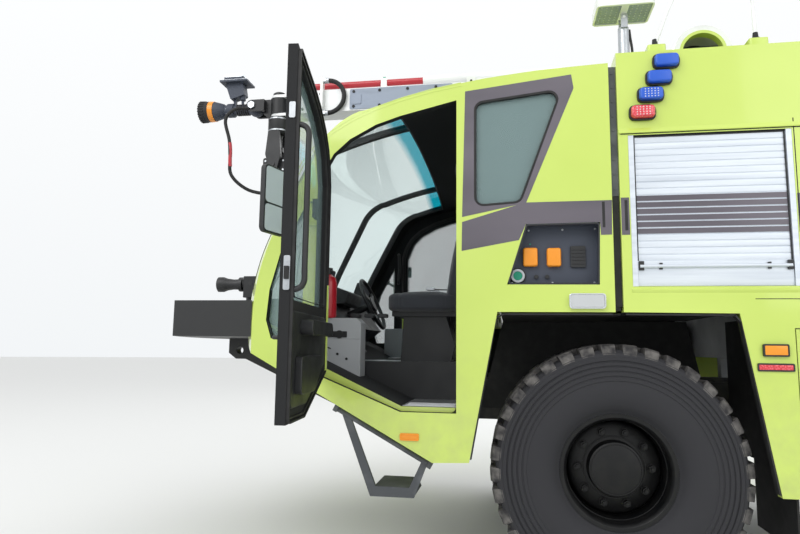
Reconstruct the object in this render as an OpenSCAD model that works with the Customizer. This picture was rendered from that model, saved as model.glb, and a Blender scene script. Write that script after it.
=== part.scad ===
// Airport fire truck, six wheels driven, with a folding high-reach boom on its roof.
// Front is -X, the driver's side is -Y, up is +Z. The origin lies on the ground
// under the middle of the front axle. All sizes are in millimetres.

/* [Truck] */
// Width over the side panels
truck_w = 3050; // [2900:10:3150]
// Height of the body's top edge
body_top = 3030; // [2950:10:3100]
// Height of the body's underside above the tyres
arch_top = 1550; // [1530:5:1570]
// Height of the lower edge of the side panels
skirt_z = 615; // [580:5:680]
// Front axle to the first rear axle
rear_axle_1 = 4900; // [4700:20:5000]
// Spacing of the two rear axles
bogie_pitch = 1650; // [1600:10:1700]
// Front axle to the back of the body
tail_x = 9000; // [8900:20:9200]

/* [Wheels] */
// Outer radius of the tyre over its lugs
tyre_r = 690; // [660:5:700]
// Width of the tyre
tyre_w = 590; // [520:10:600]
// Radius of the rim under the tyre's bead
rim_r = 297; // [280:1:310]
// Distance from the centre plane to the middle of a tyre
track_half = 1200; // [1180:5:1210]
// Radius of a wheel spindle
spindle_r = 75; // [60:1:85]
// Radius of a kingpin
kingpin_r = 28; // [22:1:34]
// Distance of a kingpin inboard of the tyre's middle
kingpin_in = 190; // [180:5:210]

/* [Cab] */
// Thickness of the cab's walls and doors
wall = 50; // [40:1:60]
// Radius of the nose in plan, at its foremost height
nose_r = 3100; // [3050:10:3150]
// Height of the nose's foremost point
nose_z = 1500; // [1480:5:1520]
// Height of the cab roof's crown
crown_z = 2980; // [2960:5:3000]
// Height of the floor inside the doors
step_floor = 1012; // [1000:2:1030]
// Height of the floor between the two step wells
deck_floor = 1250; // [1230:5:1280]
// Running gap round a door
door_gap = 8; // [6:1:12]
// Opening angle of the driver's door as it stands
door_stand = 85; // [0:1:88]

/* [Boom] */
// Centre of the turntable behind the cab
turn_x = 1350; // [1300:10:1400]
// Height of the lower boom's pin
lift_z = 3195; // [3190:1:3205]
// Distance from the turntable to the elbow
elbow_run = 6100; // [5900:20:6200]
// Width of the lower boom
boom_w = 300; // [280:5:320]
// Depth of the lower boom
boom_h = 190; // [170:2:196]
// Wall of the boom's box sections
boom_t = 12; // [8:1:14]
// Running gap between the boom's sliding sections
slide_gap = 6; // [5:1:8]

/* [Hidden] */
$fn = 64;
gap = 0.3;
half_w = truck_w / 2;
rear_axle_2 = rear_axle_1 + bogie_pitch;
cab_back = -5;
body_front_x = 38;
// Where the windscreen post meets the side, and the plan centre of the revolved nose that ends there
post_x = -2092;
nose_cx = post_x + sqrt(pow(nose_r, 2) - pow(half_w, 2));

// Points of an arc about c, from angle a0 to a1 in n steps
function arc(c, r, a0, a1, n) =
    [for (i = [0:n]) let (a = a0 + (a1 - a0) * i / n) [c[0] + r * cos(a), c[1] + r * sin(a)]];

// An outline drawn in X and Z, extruded from y0 to y1
module across(y0, y1) {
    translate([0, y1, 0]) rotate([90, 0, 0]) linear_extrude(y1 - y0) children();
}

// A box from its two opposite corners
module box(a, b) {
    translate(a) cube(b - a);
}

// A round bar along Y
module bar_y(p, r, l) {
    translate(p) rotate([90, 0, 0]) cylinder(r = r, h = l, center = true);
}

// Draws on the driver's side and again on the other
module both() {
    children();
    mirror([0, 1, 0]) children();
}

// Frame rails

rail_y = 390;
rail_z0 = 850;
rail_z1 = 1140;
rail_t = 12;
rail_flange = 85;
rail_out = rail_y + rail_flange;
rail_x0 = -1700;
rail_x1 = tail_x - 450;
cross_x = [-1600, -900, 850, 1900, 3000, 4100, (rear_axle_1 + rear_axle_2) / 2, 7300, 8400];
horn_x = -1450;
tow_hole_r = 28;
tow_front = [-2630, 1310];
tow_rear = [rail_x1 + 130, 960];

module rail() {
    difference() {
        box([rail_x0, -rail_y - rail_flange, rail_z0], [rail_x1, -rail_y, rail_z1]);
        box([rail_x0 - 1, -rail_y - rail_flange + rail_t, rail_z0 + rail_t],
            [rail_x1 + 1, -rail_y + 1, rail_z1 - rail_t]);
    }
}

module frame() color("#202224") {
    both() {
        rail();
        // horn that carries the bumper, with a towing eye at its tip
        difference() {
            across(-rail_out, -rail_y) polygon([[horn_x, rail_z0], [horn_x, rail_z1], [-1750, 1185],
                [-2440, bumper_z0 - 10], [-2470, bumper_z0 - gap], [-2720, bumper_z0 - gap],
                [-2720, 1290], [-2660, 1245], [-2580, 1245], [-1700, rail_z0]]);
            bar_y([tow_front[0], -rail_out, tow_front[1]], tow_hole_r, 400);
        }
        // towing eye behind
        difference() {
            across(-rail_out, -rail_y) polygon([[rail_x1 - 60, rail_z0], [rail_x1 - 60, rail_z1],
                [rail_x1 + 60, rail_z1], [rail_x1 + 200, 1030], [rail_x1 + 200, 890], [rail_x1 + 160, rail_z0]]);
            bar_y([tow_rear[0], -rail_out, tow_rear[1]], tow_hole_r, 400);
        }
    }
}

// Tubes between the rails, the cab's mounts and the arms that carry the mud flaps
module crossmembers() color("#202224") {
    for (x = cross_x)
        bar_y([x, 0, (rail_z0 + rail_z1) / 2], 60, 2 * (x < horn_x ? rail_y : rail_out - rail_t));
    both() {
        box([horn_x + 10, -rail_out, rail_z1], [horn_x + 130, -rail_y, deck_floor - wall - gap]);
        box([-350, -rail_out, rail_z1], [-250, -rail_y, arch_top - gap]);
        for (x = flap_x) box([x + 12, -half_w + 200, 960], [x + 62, -rail_out, 1010]);
    }
}

// Axles and knuckles

axle_r = 105;
yoke_z = 150;
kingpin_y = track_half - kingpin_in;
axle_end = kingpin_y - 62;
spring_y = 520;
spring_w = 60;
spindle_end = 60;

module axle_beam(l) {
    bar_y([0, 0, tyre_r], axle_r, l);
    translate([0, 0, tyre_r]) sphere(r = 225);
}

module spring_pack() {
    w = spring_w / 2;
    // saddle on the axle, leaves and the shackles on the outside of the rail
    difference() {
        box([-60, -spring_y - w, tyre_r], [60, -spring_y + w, rail_z0 + 60]);
        bar_y([0, -spring_y, tyre_r], axle_r, 2 * spring_w);
    }
    box([-560, -spring_y - w, rail_z0 - 30], [560, -spring_y + w, rail_z0 + 30]);
    for (x = [-560, 480])
        box([x, -spring_y, rail_z0 - 30], [x + 80, -rail_out, rail_z0 + 110]);
}

module springs() color("#26282a") {
    for (x = [0, rear_axle_1, rear_axle_2]) translate([x, 0, 0]) both() spring_pack();
}

module front_axle() color("#26282a") {
    axle_beam(2 * axle_end);
    both() {
        // fork that holds the kingpin
        difference() {
            translate([0, -kingpin_y, tyre_r]) union() {
                for (s = [-1, 1]) translate([0, 0, s * yoke_z])
                    cylinder(r = 62, h = 50, center = true);
                box([-62, 60, -yoke_z - 25], [62, 100, yoke_z + 25]);
                for (s = [-1, 1])
                    box([-62, 0, s * yoke_z - 25], [62, 100, s * yoke_z + 25]);
            }
            translate([0, -kingpin_y, tyre_r])
                cylinder(r = kingpin_r, h = 500, center = true);
        }
    }
}

module rear_axles() color("#26282a") {
    for (x = [rear_axle_1, rear_axle_2]) translate([x, 0, 0]) {
        axle_beam(2 * (track_half - 120));
        bar_y([0, 0, tyre_r], spindle_r, 2 * (track_half + spindle_end));
    }
}

// The knuckle turns on the kingpin and carries the spindle
module knuckle() color("#303234") {
    translate([0, -kingpin_y, tyre_r]) {
        cylinder(r = kingpin_r - 0.05, h = 2 * (yoke_z + 25), center = true);
        cylinder(r = 58, h = 2 * (yoke_z - 25 - gap), center = true);
        translate([0, -70, 0]) rotate([90, 0, 0]) cylinder(r = 110, h = 40, center = true);
        translate([0, -45, 0]) cube([90, 60, 180], center = true);
        rotate([90, 0, 0]) translate([0, 0, 35]) cylinder(r = spindle_r, h = kingpin_in + spindle_end - 35);
        // steering arm
        box([40, -32, -95], [235, 8, -65]);
    }
}

// Wheels

// Section of the tyre from bead to tread: share of its width, share of its height over the rim
tyre_side = [[0.36, 0], [0.36, 0.05], [0.47, 0.22], [0.5, 0.46], [0.49, 0.69], [0.455, 0.87], [0.38, 0.965],
    [0.3, 1]];
function tyre_point(p, side) = [rim_r + p[1] * (tyre_r - rim_r), side * p[0] * tyre_w];

module tyre_section() {
    n = len(tyre_side) - 1;
    polygon(concat([for (p = tyre_side) tyre_point(p, 1)],
        [for (i = [n:-1:0]) tyre_point(tyre_side[i], -1)]));
}

module tyre() color("#1c1c1d") {
    rotate([90, 0, 0]) rotate_extrude($fn = 48) tyre_section();
}

// Rim, dished disc, hub and its cap; the outer side is -Y
rim_w = 0.72 * tyre_w;
disc_y = -60;
hub_r = 118;

module wheel() color("#17181a") {
    rotate([90, 0, 0]) difference() {
        union() {
            // rim barrel with a flange on each edge
            rotate_extrude() polygon([
                [rim_r - 22, -rim_w / 2 - 14], [rim_r + 14, -rim_w / 2 - 14], [rim_r + 14, -rim_w / 2 - gap],
                [rim_r - gap, -rim_w / 2 - gap], [rim_r - gap, rim_w / 2 + gap], [rim_r + 14, rim_w / 2 + gap],
                [rim_r + 14, rim_w / 2 + 14], [rim_r - 22, rim_w / 2 + 14]]);
            // dished disc
            rotate_extrude() polygon([
                [spindle_r + 20, -disc_y - 24], [190, -disc_y - 24], [rim_r - 30, -disc_y + 20],
                [rim_r - 21, -disc_y + 20], [rim_r - 21, -disc_y + 42], [rim_r - 38, -disc_y + 42],
                [195, -disc_y], [spindle_r + 20, -disc_y]]);
            // hub barrel, flange and cap
            translate([0, 0, -70]) cylinder(r = hub_r, h = 150);
            cylinder(r = 172, h = 34 - disc_y);
            translate([0, 0, 79]) cylinder(r1 = hub_r, r2 = hub_r - 16, h = 55);
            for (a = [0:36:324]) rotate(a) translate([150, 0, -disc_y])
                cylinder(r = 15, h = 52, $fn = 6);
        }
        translate([0, 0, -80]) cylinder(r = spindle_r + gap, h = 150);
    }
}

module wheel_at(i, right) {
    x = [0, rear_axle_1, rear_axle_2][i];
    mirror([0, right ? 1 : 0, 0]) translate([x, -track_half, tyre_r]) children();
}

// Cab

// Section of the cab in radius and height, drawn inward by t
crown_r = 2900;
shoulder_r = 357;
face_r = 1453;
crown_c = [nose_r - 1640, crown_z - crown_r];
nose_c = [nose_r - face_r, nose_z];
shoulder_c = [nose_r - 675, crown_z - 541];
function cab_section(t) = concat(
    [[0, crown_z - t]],
    arc(crown_c, crown_r - t, 90, 68, 6),
    arc(shoulder_c, shoulder_r - t, 66, 25, 8),
    arc(nose_c, face_r - t, 22.5, 0, 8),
    [[nose_r - t, 0], [0, 0]]);

module cab_form(t) {
    translate([nose_cx, 0, 0]) rotate_extrude($fn = 180) polygon(cab_section(t));
}

// Side outline: arch edge, lower edge and approach slope
arch_in = 640;
arch_out = 800;
cab_low = 722;
slope_x0 = -1003;
slope_z0 = 714;
slope_t = 0.54;
nose_low_x = -2560;

cab_outline = [[cab_back, crown_z + 50], [cab_back, arch_top], [-arch_in, arch_top],
    [-arch_out, cab_low], [slope_x0, slope_z0],
    [nose_low_x, slope_z0 + slope_t * (slope_x0 - nose_low_x)], [nose_low_x, crown_z + 50]];

// Room inside at the step wells and over the middle deck
well_in = 970;
room_back = cab_back - wall;
step_well = [[room_back, crown_z], [room_back, arch_top + wall], [-arch_out + 20, arch_top + wall],
    [-860, step_floor], [-1187, step_floor], [-1540, 1172], [-2600, 1660], [-2600, crown_z]];
deck_room = [[room_back, crown_z], [room_back, arch_top + wall], [-arch_out + 20, arch_top + wall],
    [-arch_out - 20, deck_floor], [-1700, deck_floor], [-2600, 1700], [-2600, crown_z]];

// Door opening and what fills it
door_x0 = -1700;
door_x1 = -870;
door_low = 985;
function door_outline(g) = concat(
    [[door_x1 - g, door_low + g], [door_x1 - g, 2802 - g], [-1208 - g / 2, 2723 - g], [-1355, 2676 - g]],
    [[-1514 + g / 2, 2592 - g], [-1612 + g, 2505 - g / 2], [-1672 + g, 2400], [door_x0 + g, 2300]],
    [[door_x0 + g, 1190 + g], [-1187, door_low + g]]);

door_window = [[-925, 1560], [-925, 2735], [-1200, 2660], [-1340, 2612], [-1490, 2530], [-1575, 2440],
    [-1640, 2280], [-1640, 1560]];
crew_window = [[-767, 2785], [-256, 2840], [-502, 2170], [-768, 2153]];
quarter_window = [[-1780, 2190], [-1780, 1390], [-1970, 1390], [-2005, 1500], [-1990, 1680], [-1930, 1900]];

// Windscreen opening, as seen from the front
post_w = 135;
screen_half = half_w - post_w;
screen_z0 = 1700;
screen_z1 = 2640;

// Recessed service panel behind the driver's door
panel_outline = [[-476, 2047], [-73, 2050], [-83, 1701], [-585, 1704]];
panel_deep = 90;

module cab() color("#c3dc2b") {
    difference() {
        union() {
            difference() {
                intersection() {
                    cab_form(0);
                    across(-half_w, half_w) polygon(cab_outline);
                }
                // hollow room
                intersection() {
                    cab_form(wall);
                    union() {
                        both() across(-half_w + wall, -well_in) polygon(step_well);
                        across(-well_in - 1, well_in + 1) polygon(deck_room);
                    }
                }
                // open underside between the step boxes, and the wheel housings
                intersection() {
                    cab_form(wall);
                    across(-well_in + wall, well_in - wall) polygon([[-800, 0], [-800, deck_floor - wall],
                        [-1690, deck_floor - wall], [-2600, 1700 - wall - 10], [-2600, 0]]);
                }
                both() box([-930, -half_w + wall, 0], [0, 0, 960]);
                both() across(-half_w + wall, 0)
                    polygon([[-930, 955], [-880, 1000], [-arch_out - 30, arch_top - 20],
                        [-arch_out, arch_top], [10, arch_top], [10, 0], [-930, 0]]);
                // windows
                box([-3000, -screen_half, screen_z0], [-1300, screen_half, screen_z1]);
            }
            // pocket behind the service panel
            across(-half_w + wall - 1, -half_w + panel_deep + 20) polygon([[-450, 2080], [-40, 2080],
                [-40, 1670], [-640, 1670]]);
        }
        both() across(-half_w - 1, -half_w + wall + 1) {
            polygon(door_outline(0));
            polygon(crew_window);
            polygon(quarter_window);
        }
        across(-half_w - 1, -half_w + panel_deep) polygon(panel_outline);
    }
    both() {
        // fixed hinge knuckles of the door, with their pin
        for (z = hinge_z) {
            translate([hinge_x, hinge_y, z]) cylinder(r = 8, h = knuckle_h + 40, center = true);
            for (s = [-1, 1]) translate([hinge_x, hinge_y, z + s * (knuckle_h / 2 + 17)]) {
                cylinder(r = 14, h = 30, center = true);
                box([-60, -14, -15], [0, 15, 15]);
            }
        }
        // lugs and pins of the folding step
        on_sill() for (x = [step_from + 2, step_from - step_len - step_lug - 2])
            box([x, step_hinge_y - 20, -step_drop - 18], [x + step_lug, step_hinge_y + 20, 2]);
        on_sill() bar_x([step_from + 10, step_hinge_y, -step_drop], 8, step_len + 20);
    }
}

glass_t = 8;

module windscreen() color([0.35, 0.5, 0.5, 0.5]) {
    intersection() {
        difference() {
            cab_form(wall / 2 - glass_t / 2);
            cab_form(wall / 2 + glass_t / 2);
        }
        box([-3000, -screen_half + gap, screen_z0 + gap], [-1300, screen_half - gap, screen_z1 - gap]);
    }
}

module side_glass() color([0.3, 0.4, 0.4, 0.5]) {
    both() across(-half_w + wall / 2 - glass_t / 2, -half_w + wall / 2 + glass_t / 2) {
        polygon(crew_window);
        polygon(quarter_window);
    }
}

hinge_x = door_x0 + 2;
hinge_y = -half_w - 14;
hinge_z = [1350, 2150];
knuckle_h = 110;

module door_leaf() color("#c3dc2b") {
    difference() {
        union() {
            across(-half_w, -half_w + wall) polygon(door_outline(door_gap));
            // hinge knuckles outside the skin
            for (z = hinge_z) {
                translate([hinge_x, hinge_y, z]) cylinder(r = 14, h = knuckle_h, center = true);
                box([hinge_x, hinge_y - 14, z - knuckle_h / 2], [hinge_x + 90, -half_w, z + knuckle_h / 2]);
            }
        }
        for (z = hinge_z) translate([hinge_x, hinge_y, z]) cylinder(r = 8.05, h = 200, center = true);
        across(-half_w - 1, -half_w + wall + 1) polygon(door_window);
        // inner tray of the door
        across(-half_w + 12, -half_w + wall + 1) polygon([[-930, 1080], [-930, 1500], [-1640, 1500],
            [-1640, 1270], [-1240, 1080]]);
    }
}

module door_pane() color([0.3, 0.4, 0.4, 0.5]) {
    across(-half_w + 15, -half_w + 15 + glass_t) polygon(door_window);
}

// Turns what it draws about the driver's door hinge
module door_open(a) {
    translate([hinge_x, hinge_y, 0]) rotate(-a) translate([-hinge_x, -hinge_y, 0]) children();
}

// Cab inside

helm_x = -1690;
helm_z = 1700;
column_r = 28;

module at_helm() {
    translate([helm_x, 0, helm_z]) rotate([0, 65, 0]) children();
}

module dash() color("#2a2b2d") {
    difference() {
        intersection() {
            across(-900, 900) polygon([[-2100, 1480], [-2400, 1640], [-2400, 1660], [-1950, 1690],
                [-1800, 1500], [-1930, 1400], [-1950, 1400]]);
            cab_form(wall + gap);
        }
        at_helm() translate([0, 0, -400]) cylinder(r = column_r + gap, h = 400);
    }
    // pedestal under the instruments
    across(-300, 300) polygon([[-2050, 1450], [-1940, 1450], [-1800, deck_floor + 60],
        [-1800, 1300 + gap], [-1940, 1370 + gap]]);
}

module steering_wheel() color("#1b1b1c") {
    at_helm() {
        rotate_extrude() translate([215, 0]) circle(r = 15);
        for (a = [0, 120, 240]) rotate(a) translate([0, -18, -8]) cube([210, 36, 12]);
        translate([0, 0, -30]) cylinder(r = 62, h = 40);
        translate([0, 0, -260]) cylinder(r = column_r, h = 240);
    }
}

seat_y = [-720, 0, 720];

module seat(x) {
    translate([x, 0, 0]) {
        box([-240, -240, deck_floor + 330], [260, 240, deck_floor + 470]);
        across(-235, 235) polygon([[170, deck_floor + 470], [300, deck_floor + 1150],
            [390, deck_floor + 1150], [280, deck_floor + 400], [250, deck_floor + 400]]);
        box([-140, -150, deck_floor], [180, 150, deck_floor + 330]);
    }
}

module seats() color("#303134") {
    for (y = seat_y) translate([0, y, 0]) seat(-1150);
}

// Bumper, lamps, steps and mirrors

bumper_deep = 457;
bumper_r = nose_r + bumper_deep;
bumper_x = nose_cx - bumper_r;
bumper_z0 = 1400;
bumper_z1 = 1620;
lamp_y = [960, 1160];
lamp_z = (bumper_z0 + bumper_z1) / 2;
lamp_r = 78;
function lamp_face(y) = sqrt(pow(bumper_r, 2) - pow(y + sign(y) * lamp_r, 2));

module bumper() color("#2b2c2e") {
    intersection() {
        box([bumper_x, -half_w + 40, bumper_z0], [-2000, half_w - 40, bumper_z1]);
        translate([nose_cx, 0, 0]) difference() {
            cylinder(r = bumper_r, h = 3000, $fn = 180);
            cylinder(r = nose_r + gap, h = 3000, $fn = 180);
            for (y = [-lamp_y[1], -lamp_y[0], lamp_y[0], lamp_y[1]]) translate([-lamp_face(y) - 30, y, lamp_z])
                rotate([0, 90, 0]) cylinder(r = lamp_r + gap, h = 110);
        }
    }
}

module headlamps() color("#dfe6ea") {
    both() for (y = lamp_y)
        translate([nose_cx - lamp_face(y) - 10, -y, lamp_z]) rotate([0, 90, 0]) cylinder(r = lamp_r, h = 70);
}

step_deep = 300;
step_hinge_y = -half_w + 60;
step_drop = 26;
step_from = -20;
step_len = 600;
step_lug = 22;

// Frame of the sloping sill: -X runs up the slope, -Z is square to its underside
module on_sill() {
    translate([slope_x0, 0, slope_z0]) rotate([0, atan(slope_t), 0]) children();
}

module bar_x(p, r, l) {
    translate(p) rotate([0, -90, 0]) cylinder(r = r, h = l);
}

module step() color("#4a4c4f") {
    difference() {
        union() {
            on_sill() bar_x([step_from, step_hinge_y, -step_drop], 16, step_len);
            // front leg, tread and rear leg
            across(step_hinge_y - 12, step_hinge_y + 12) polygon([[-1545, 985], [-1490, 955], [-1330, 560],
                [-1140, 560], [-1060, 730], [-1030, 715], [-1110, 510], [-1362, 509]]);
            across(step_hinge_y - 12, step_hinge_y + step_deep) polygon([[-1350, 530], [-1340, 565],
                [-1130, 565], [-1110, 515], [-1362, 509]]);
        }
        on_sill() bar_x([step_from + 10, step_hinge_y, -step_drop], 8.05, step_len + 20);
    }
}

mirror_out = 350;

// A round bar between two points
module rod(a, b, r) {
    d = b - a;
    translate(a) rotate([0, acos(d[2] / norm(d)), atan2(d[1], d[0])]) cylinder(r = r, h = norm(d));
}

module mirrors() color("#151516") {
    both() {
        box([-1890, -half_w - mirror_out - 110, 1950], [-1800, -half_w - mirror_out + 110, 2325]);
        difference() {
            for (z = [2030, 2250]) rod([-1850, -half_w - mirror_out + 20, z], [-1880, -half_w + 90, z + 20], 16);
            intersection() {
                cab_form(-gap);
                across(-half_w - gap, 0) polygon(cab_outline);
            }
        }
    }
}

// Body

body_wall = 60;
bx0 = body_front_x;
bulkhead = 60;
deck_z = 2860;
arch_r = tyre_r + 130;
rear_arch_x0 = rear_axle_1 - arch_r;
rear_arch_x1 = rear_axle_2 + arch_r;

body_outline = [[bx0, body_top], [bx0, arch_top], [621, arch_top - 5], [772, skirt_z],
    [rear_arch_x0, skirt_z], [rear_arch_x0 + 150, arch_top], [rear_arch_x1 - 150, arch_top],
    [rear_arch_x1, 900], [tail_x, 1050], [tail_x, body_top]];

// Roller door bays: x0, x1, z0, z1
bays = [[90, 930, 1690, 2540], [2450, 3950, 1690, 2540]];
// Lower locker doors: x0, x1, z0, z1
lockers = [[880, 2330, 700, 1470], [2450, 3950, 700, 1470]];
// Grille openings of the engine bay
grilles = [[7560, 8800, 1650, 2750]];
flap_x = [860, rear_arch_x1 + 20];

module body() color("#c3dc2b") {
    difference() {
        across(-half_w, half_w) polygon(body_outline);
        // inside room, open below
        box([bx0 + bulkhead, -half_w + body_wall, 0], [tail_x - bulkhead, half_w - body_wall, deck_z - 50]);
        // sunken deck
        box([bx0 + 200, -half_w + 130, deck_z], [tail_x - 200, half_w - 130, body_top + 10]);
        both() for (b = concat(bays, lockers, grilles))
            box([b[0], -half_w - 1, b[2]], [b[1], -half_w + body_wall + 1, b[3]]);
        // wheel housings
        box([bx0 - 1, -half_w + body_wall, 0], [tail_x - bulkhead, half_w - body_wall, arch_top]);
        translate([mast_x, mast_y, deck_z - 60]) cylinder(r = mast_r + gap, h = 300);
    }
}

module roof_deck() color("#9a9c9e") {
    for (x = [2100, 3700, 5300, 6900]) both()
        box([x, -1150, deck_z], [x + 700, -550, deck_z + 60]);
    // pedestal of the boom
    translate([turn_x, 0, deck_z]) cylinder(r = 460, h = body_top - deck_z);
}

tank_half = 1150;

module tank() color("#b9bcc0") {
    across(-tank_half, tank_half) polygon([[950, 1300], [950, deck_z - 50 - gap], [7150, deck_z - 50 - gap],
        [7150, arch_top + 50], [rear_arch_x0, arch_top + 50], [rear_arch_x0, 1300]]);
    both() for (x = [1100, 2500, 3800])
        box([x, -rail_out, rail_z1 + gap], [x + 200, -rail_y, 1301]);
}

module roller_doors() color("#c9ccd0") {
    both() for (b = bays)
        box([b[0] + gap, -half_w + 15, b[2] + gap], [b[1] - gap, -half_w + 35, b[3] - gap]);
}

module side_lockers() color("#c3dc2b") {
    both() for (b = lockers) {
        box([b[0] + 6, -half_w + 3, b[2] + 6], [b[1] - 6, -half_w + 26, b[3] - 6]);
        box([b[0] + gap, -half_w + 25, b[2] + gap], [b[1] - gap, -half_w + 45, b[3] - gap]);
    }
}

module engine_grilles() color("#2b2c2e") {
    both() for (b = grilles) for (z = [b[2] + 30:60:b[3] - 40])
        translate([b[0] + gap, -half_w + 10, z]) rotate([-35, 0, 0]) cube([b[1] - b[0] - 2 * gap, 6, 60]);
}

module engine() color("#55585b") {
    box([7350, -470, 1200], [8700, 470, 2200]);
    both() for (x = [7500, 8350]) box([x, -rail_out, rail_z1 + gap], [x + 160, -rail_y, 1201]);
}

// Lamps

// Beacons on the corner, from the lowest: x, z
beacons = [[170, 2665], [217, 2767], [265, 2864], [306, 2959]];

module warning_lamps() color("#2a4fb0") {
    both() for (p = beacons) translate([p[0], -half_w - 25, p[1]]) rotate([0, 0, 0])
        cube([145, 50, 88], center = true);
}

module marker_lamps() color("#e08a1a") {
    both() {
        box([718, -half_w - 18, 1322], [843, -half_w, 1387]);
        box([-1185, -half_w - 12, 830], [-1077, -half_w, 870]);
        box([-250, -half_w - 22, 1567], [-55, -half_w, 1652]);
    }
}

module mudflaps() color("#141415") {
    both() for (x = flap_x)
        box([x, -half_w + body_wall + 6, 330], [x + 12 - gap, -half_w + 620, 1010]);
}

// Boom

elbow_x = turn_x + elbow_run;
elbow_z = 3440;
cheek_y = boom_w / 2 + 12;
cheek_t = 30;
pin_r = 40;
pin_slack = 0.05;
turn_z = body_top + gap;
plate_h = 45;

// Lift cylinder: pin on the turntable and pin on the lower boom, from the lift pin in X and Z
cyl_base = [600, -105];
cyl_eye = [1450, -20];
cyl_y = boom_w / 2 + 60;
cyl_r = 42;
cyl_rod_r = 24;
cyl_body = 600;
cyl_pin_r = 18;
cyl_len = norm(cyl_eye - cyl_base);
cyl_lean = atan2(cyl_eye[1] - cyl_base[1], cyl_eye[0] - cyl_base[0]);

module turntable() color("#c3dc2b") {
    translate([turn_x, 0, 0]) {
        translate([0, 0, turn_z]) cylinder(r = 420, h = plate_h);
        both() {
            difference() {
                box([-190, -cheek_y - cheek_t, turn_z], [190, -cheek_y, lift_z + 95]);
                bar_y([0, -cheek_y, lift_z], pin_r, 200);
            }
            // arm that holds the foot of the lift cylinder
            difference() {
                box([100, -cyl_y - 75, turn_z], [cyl_base[0] + 60, -cyl_y - 50, lift_z + cyl_base[1] + 45]);
                bar_y([cyl_base[0], -cyl_y - 50, lift_z + cyl_base[1]], cyl_pin_r, 120);
            }
        }
    }
}

boom_tail = 58;

// Elbow plate of the lower boom, from the elbow pin in X and Z
elbow_plate = [[-420, lift_z - 60], [-420, lift_z + 60], [-90, elbow_z + 90], [80, elbow_z + 90],
    [80, elbow_z - 90], [-60, lift_z - 95]];

module lower_boom() color("#c3dc2b") {
    difference() {
        box([turn_x - boom_tail, -boom_w / 2, lift_z - boom_h / 2],
            [elbow_x - 160, boom_w / 2, lift_z + boom_h / 2]);
        box([turn_x + 200, -boom_w / 2 + boom_t, lift_z - boom_h / 2 + boom_t],
            [elbow_x - 400, boom_w / 2 - boom_t, lift_z + boom_h / 2 - boom_t]);
    }
    bar_y([turn_x, 0, lift_z], pin_r - pin_slack, 2 * (cheek_y + cheek_t) + 4);
    both() {
        difference() {
            across(-boom_w / 2 - 20, -boom_w / 2 + 20)
                polygon([for (p = elbow_plate) [elbow_x + p[0], p[1]]]);
            bar_y([elbow_x, -boom_w / 2, elbow_z], pin_r, 100);
        }
        // boss beside the eye of the lift rod
        bar_y([turn_x + cyl_eye[0], -boom_w / 2 - 14, lift_z + cyl_eye[1]], 45, 30);
    }
}

outer_w = 240;
outer_h = 230;
outer_z = 3445;
outer_front = -900;
pad_t = slide_gap - gap + 1;

module upper_boom() color("#e8e9ea") {
    difference() {
        box([outer_front, -outer_w / 2, outer_z - outer_h / 2], [elbow_x + 60, outer_w / 2, outer_z + outer_h / 2]);
        box([outer_front - 1, -outer_w / 2 + boom_t, outer_z - outer_h / 2 + boom_t],
            [elbow_x - 300, outer_w / 2 - boom_t, outer_z + outer_h / 2 - boom_t]);
    }
    bar_y([elbow_x, 0, elbow_z], pin_r - pin_slack, boom_w + 44);
    // wear pads at the mouth
    for (s = [-1, 1]) {
        translate([outer_front + 50, 0, outer_z + s * (inner_h / 2 + gap + pad_t / 2)])
            cube([100, inner_w - 40, pad_t], center = true);
        translate([outer_front + 50, s * (inner_w / 2 + gap + pad_t / 2), outer_z])
            cube([100, pad_t, inner_h - 40], center = true);
    }
}

head_x = -2570;
inner_front = head_x + 110;
inner_back = 4200;
inner_w = outer_w - 2 * boom_t - 2 * slide_gap;
inner_h = outer_h - 2 * boom_t - 2 * slide_gap;
fork_t = 24;
pan_r = 30;

module inner_boom() color("#dcdedf") {
    difference() {
        box([inner_front, -inner_w / 2, outer_z - inner_h / 2], [inner_back, inner_w / 2, outer_z + inner_h / 2]);
        box([inner_front + 60, -inner_w / 2 + 10, outer_z - inner_h / 2 + 10],
            [inner_back + 1, inner_w / 2 - 10, outer_z + inner_h / 2 - 10]);
    }
    // fork that carries the head
    for (s = [-1, 1]) difference() {
        translate([0, 0, outer_z + s * (inner_h / 2 - fork_t / 2)]) {
            box([head_x, -70, -fork_t / 2], [inner_front + 1, 70, fork_t / 2]);
            translate([head_x, 0, 0]) cylinder(r = 70, h = fork_t, center = true);
        }
        translate([head_x, 0, outer_z]) cylinder(r = pan_r, h = 400, center = true);
    }
}

tilt_x = head_x - 220;
tilt_z = outer_z;
tilt_r = 24;
head_h = inner_h / 2 - fork_t - 1;

module boom_head() color("#26282a") {
    translate([head_x, 0, outer_z]) {
        cylinder(r = pan_r - pin_slack, h = inner_h + 30, center = true);
        cylinder(r = 78, h = 2 * head_h, center = true);
        box([-130, -50, -head_h + 8], [-40, 50, head_h - 8]);
        // fork of the nozzle
        both() difference() {
            union() {
                box([-220, -104, -50], [-110, -80, 50]);
                box([-130, -104, -50], [-105, -40, 50]);
                bar_y([-220, -92, 0], 50, 24);
            }
            bar_y([-220, -92, 0], tilt_r, 100);
        }
        // piercing tool folded under the head
        translate([0, 0, -inner_h / 2 - 15]) {
            translate([0, 0, -80]) cylinder(r = 55, h = 80);
            translate([0, 0, -500]) cylinder(r = 30, h = 430);
            translate([0, 0, -560]) cylinder(r1 = 8, r2 = 38, h = 60);
        }
    }
}

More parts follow.
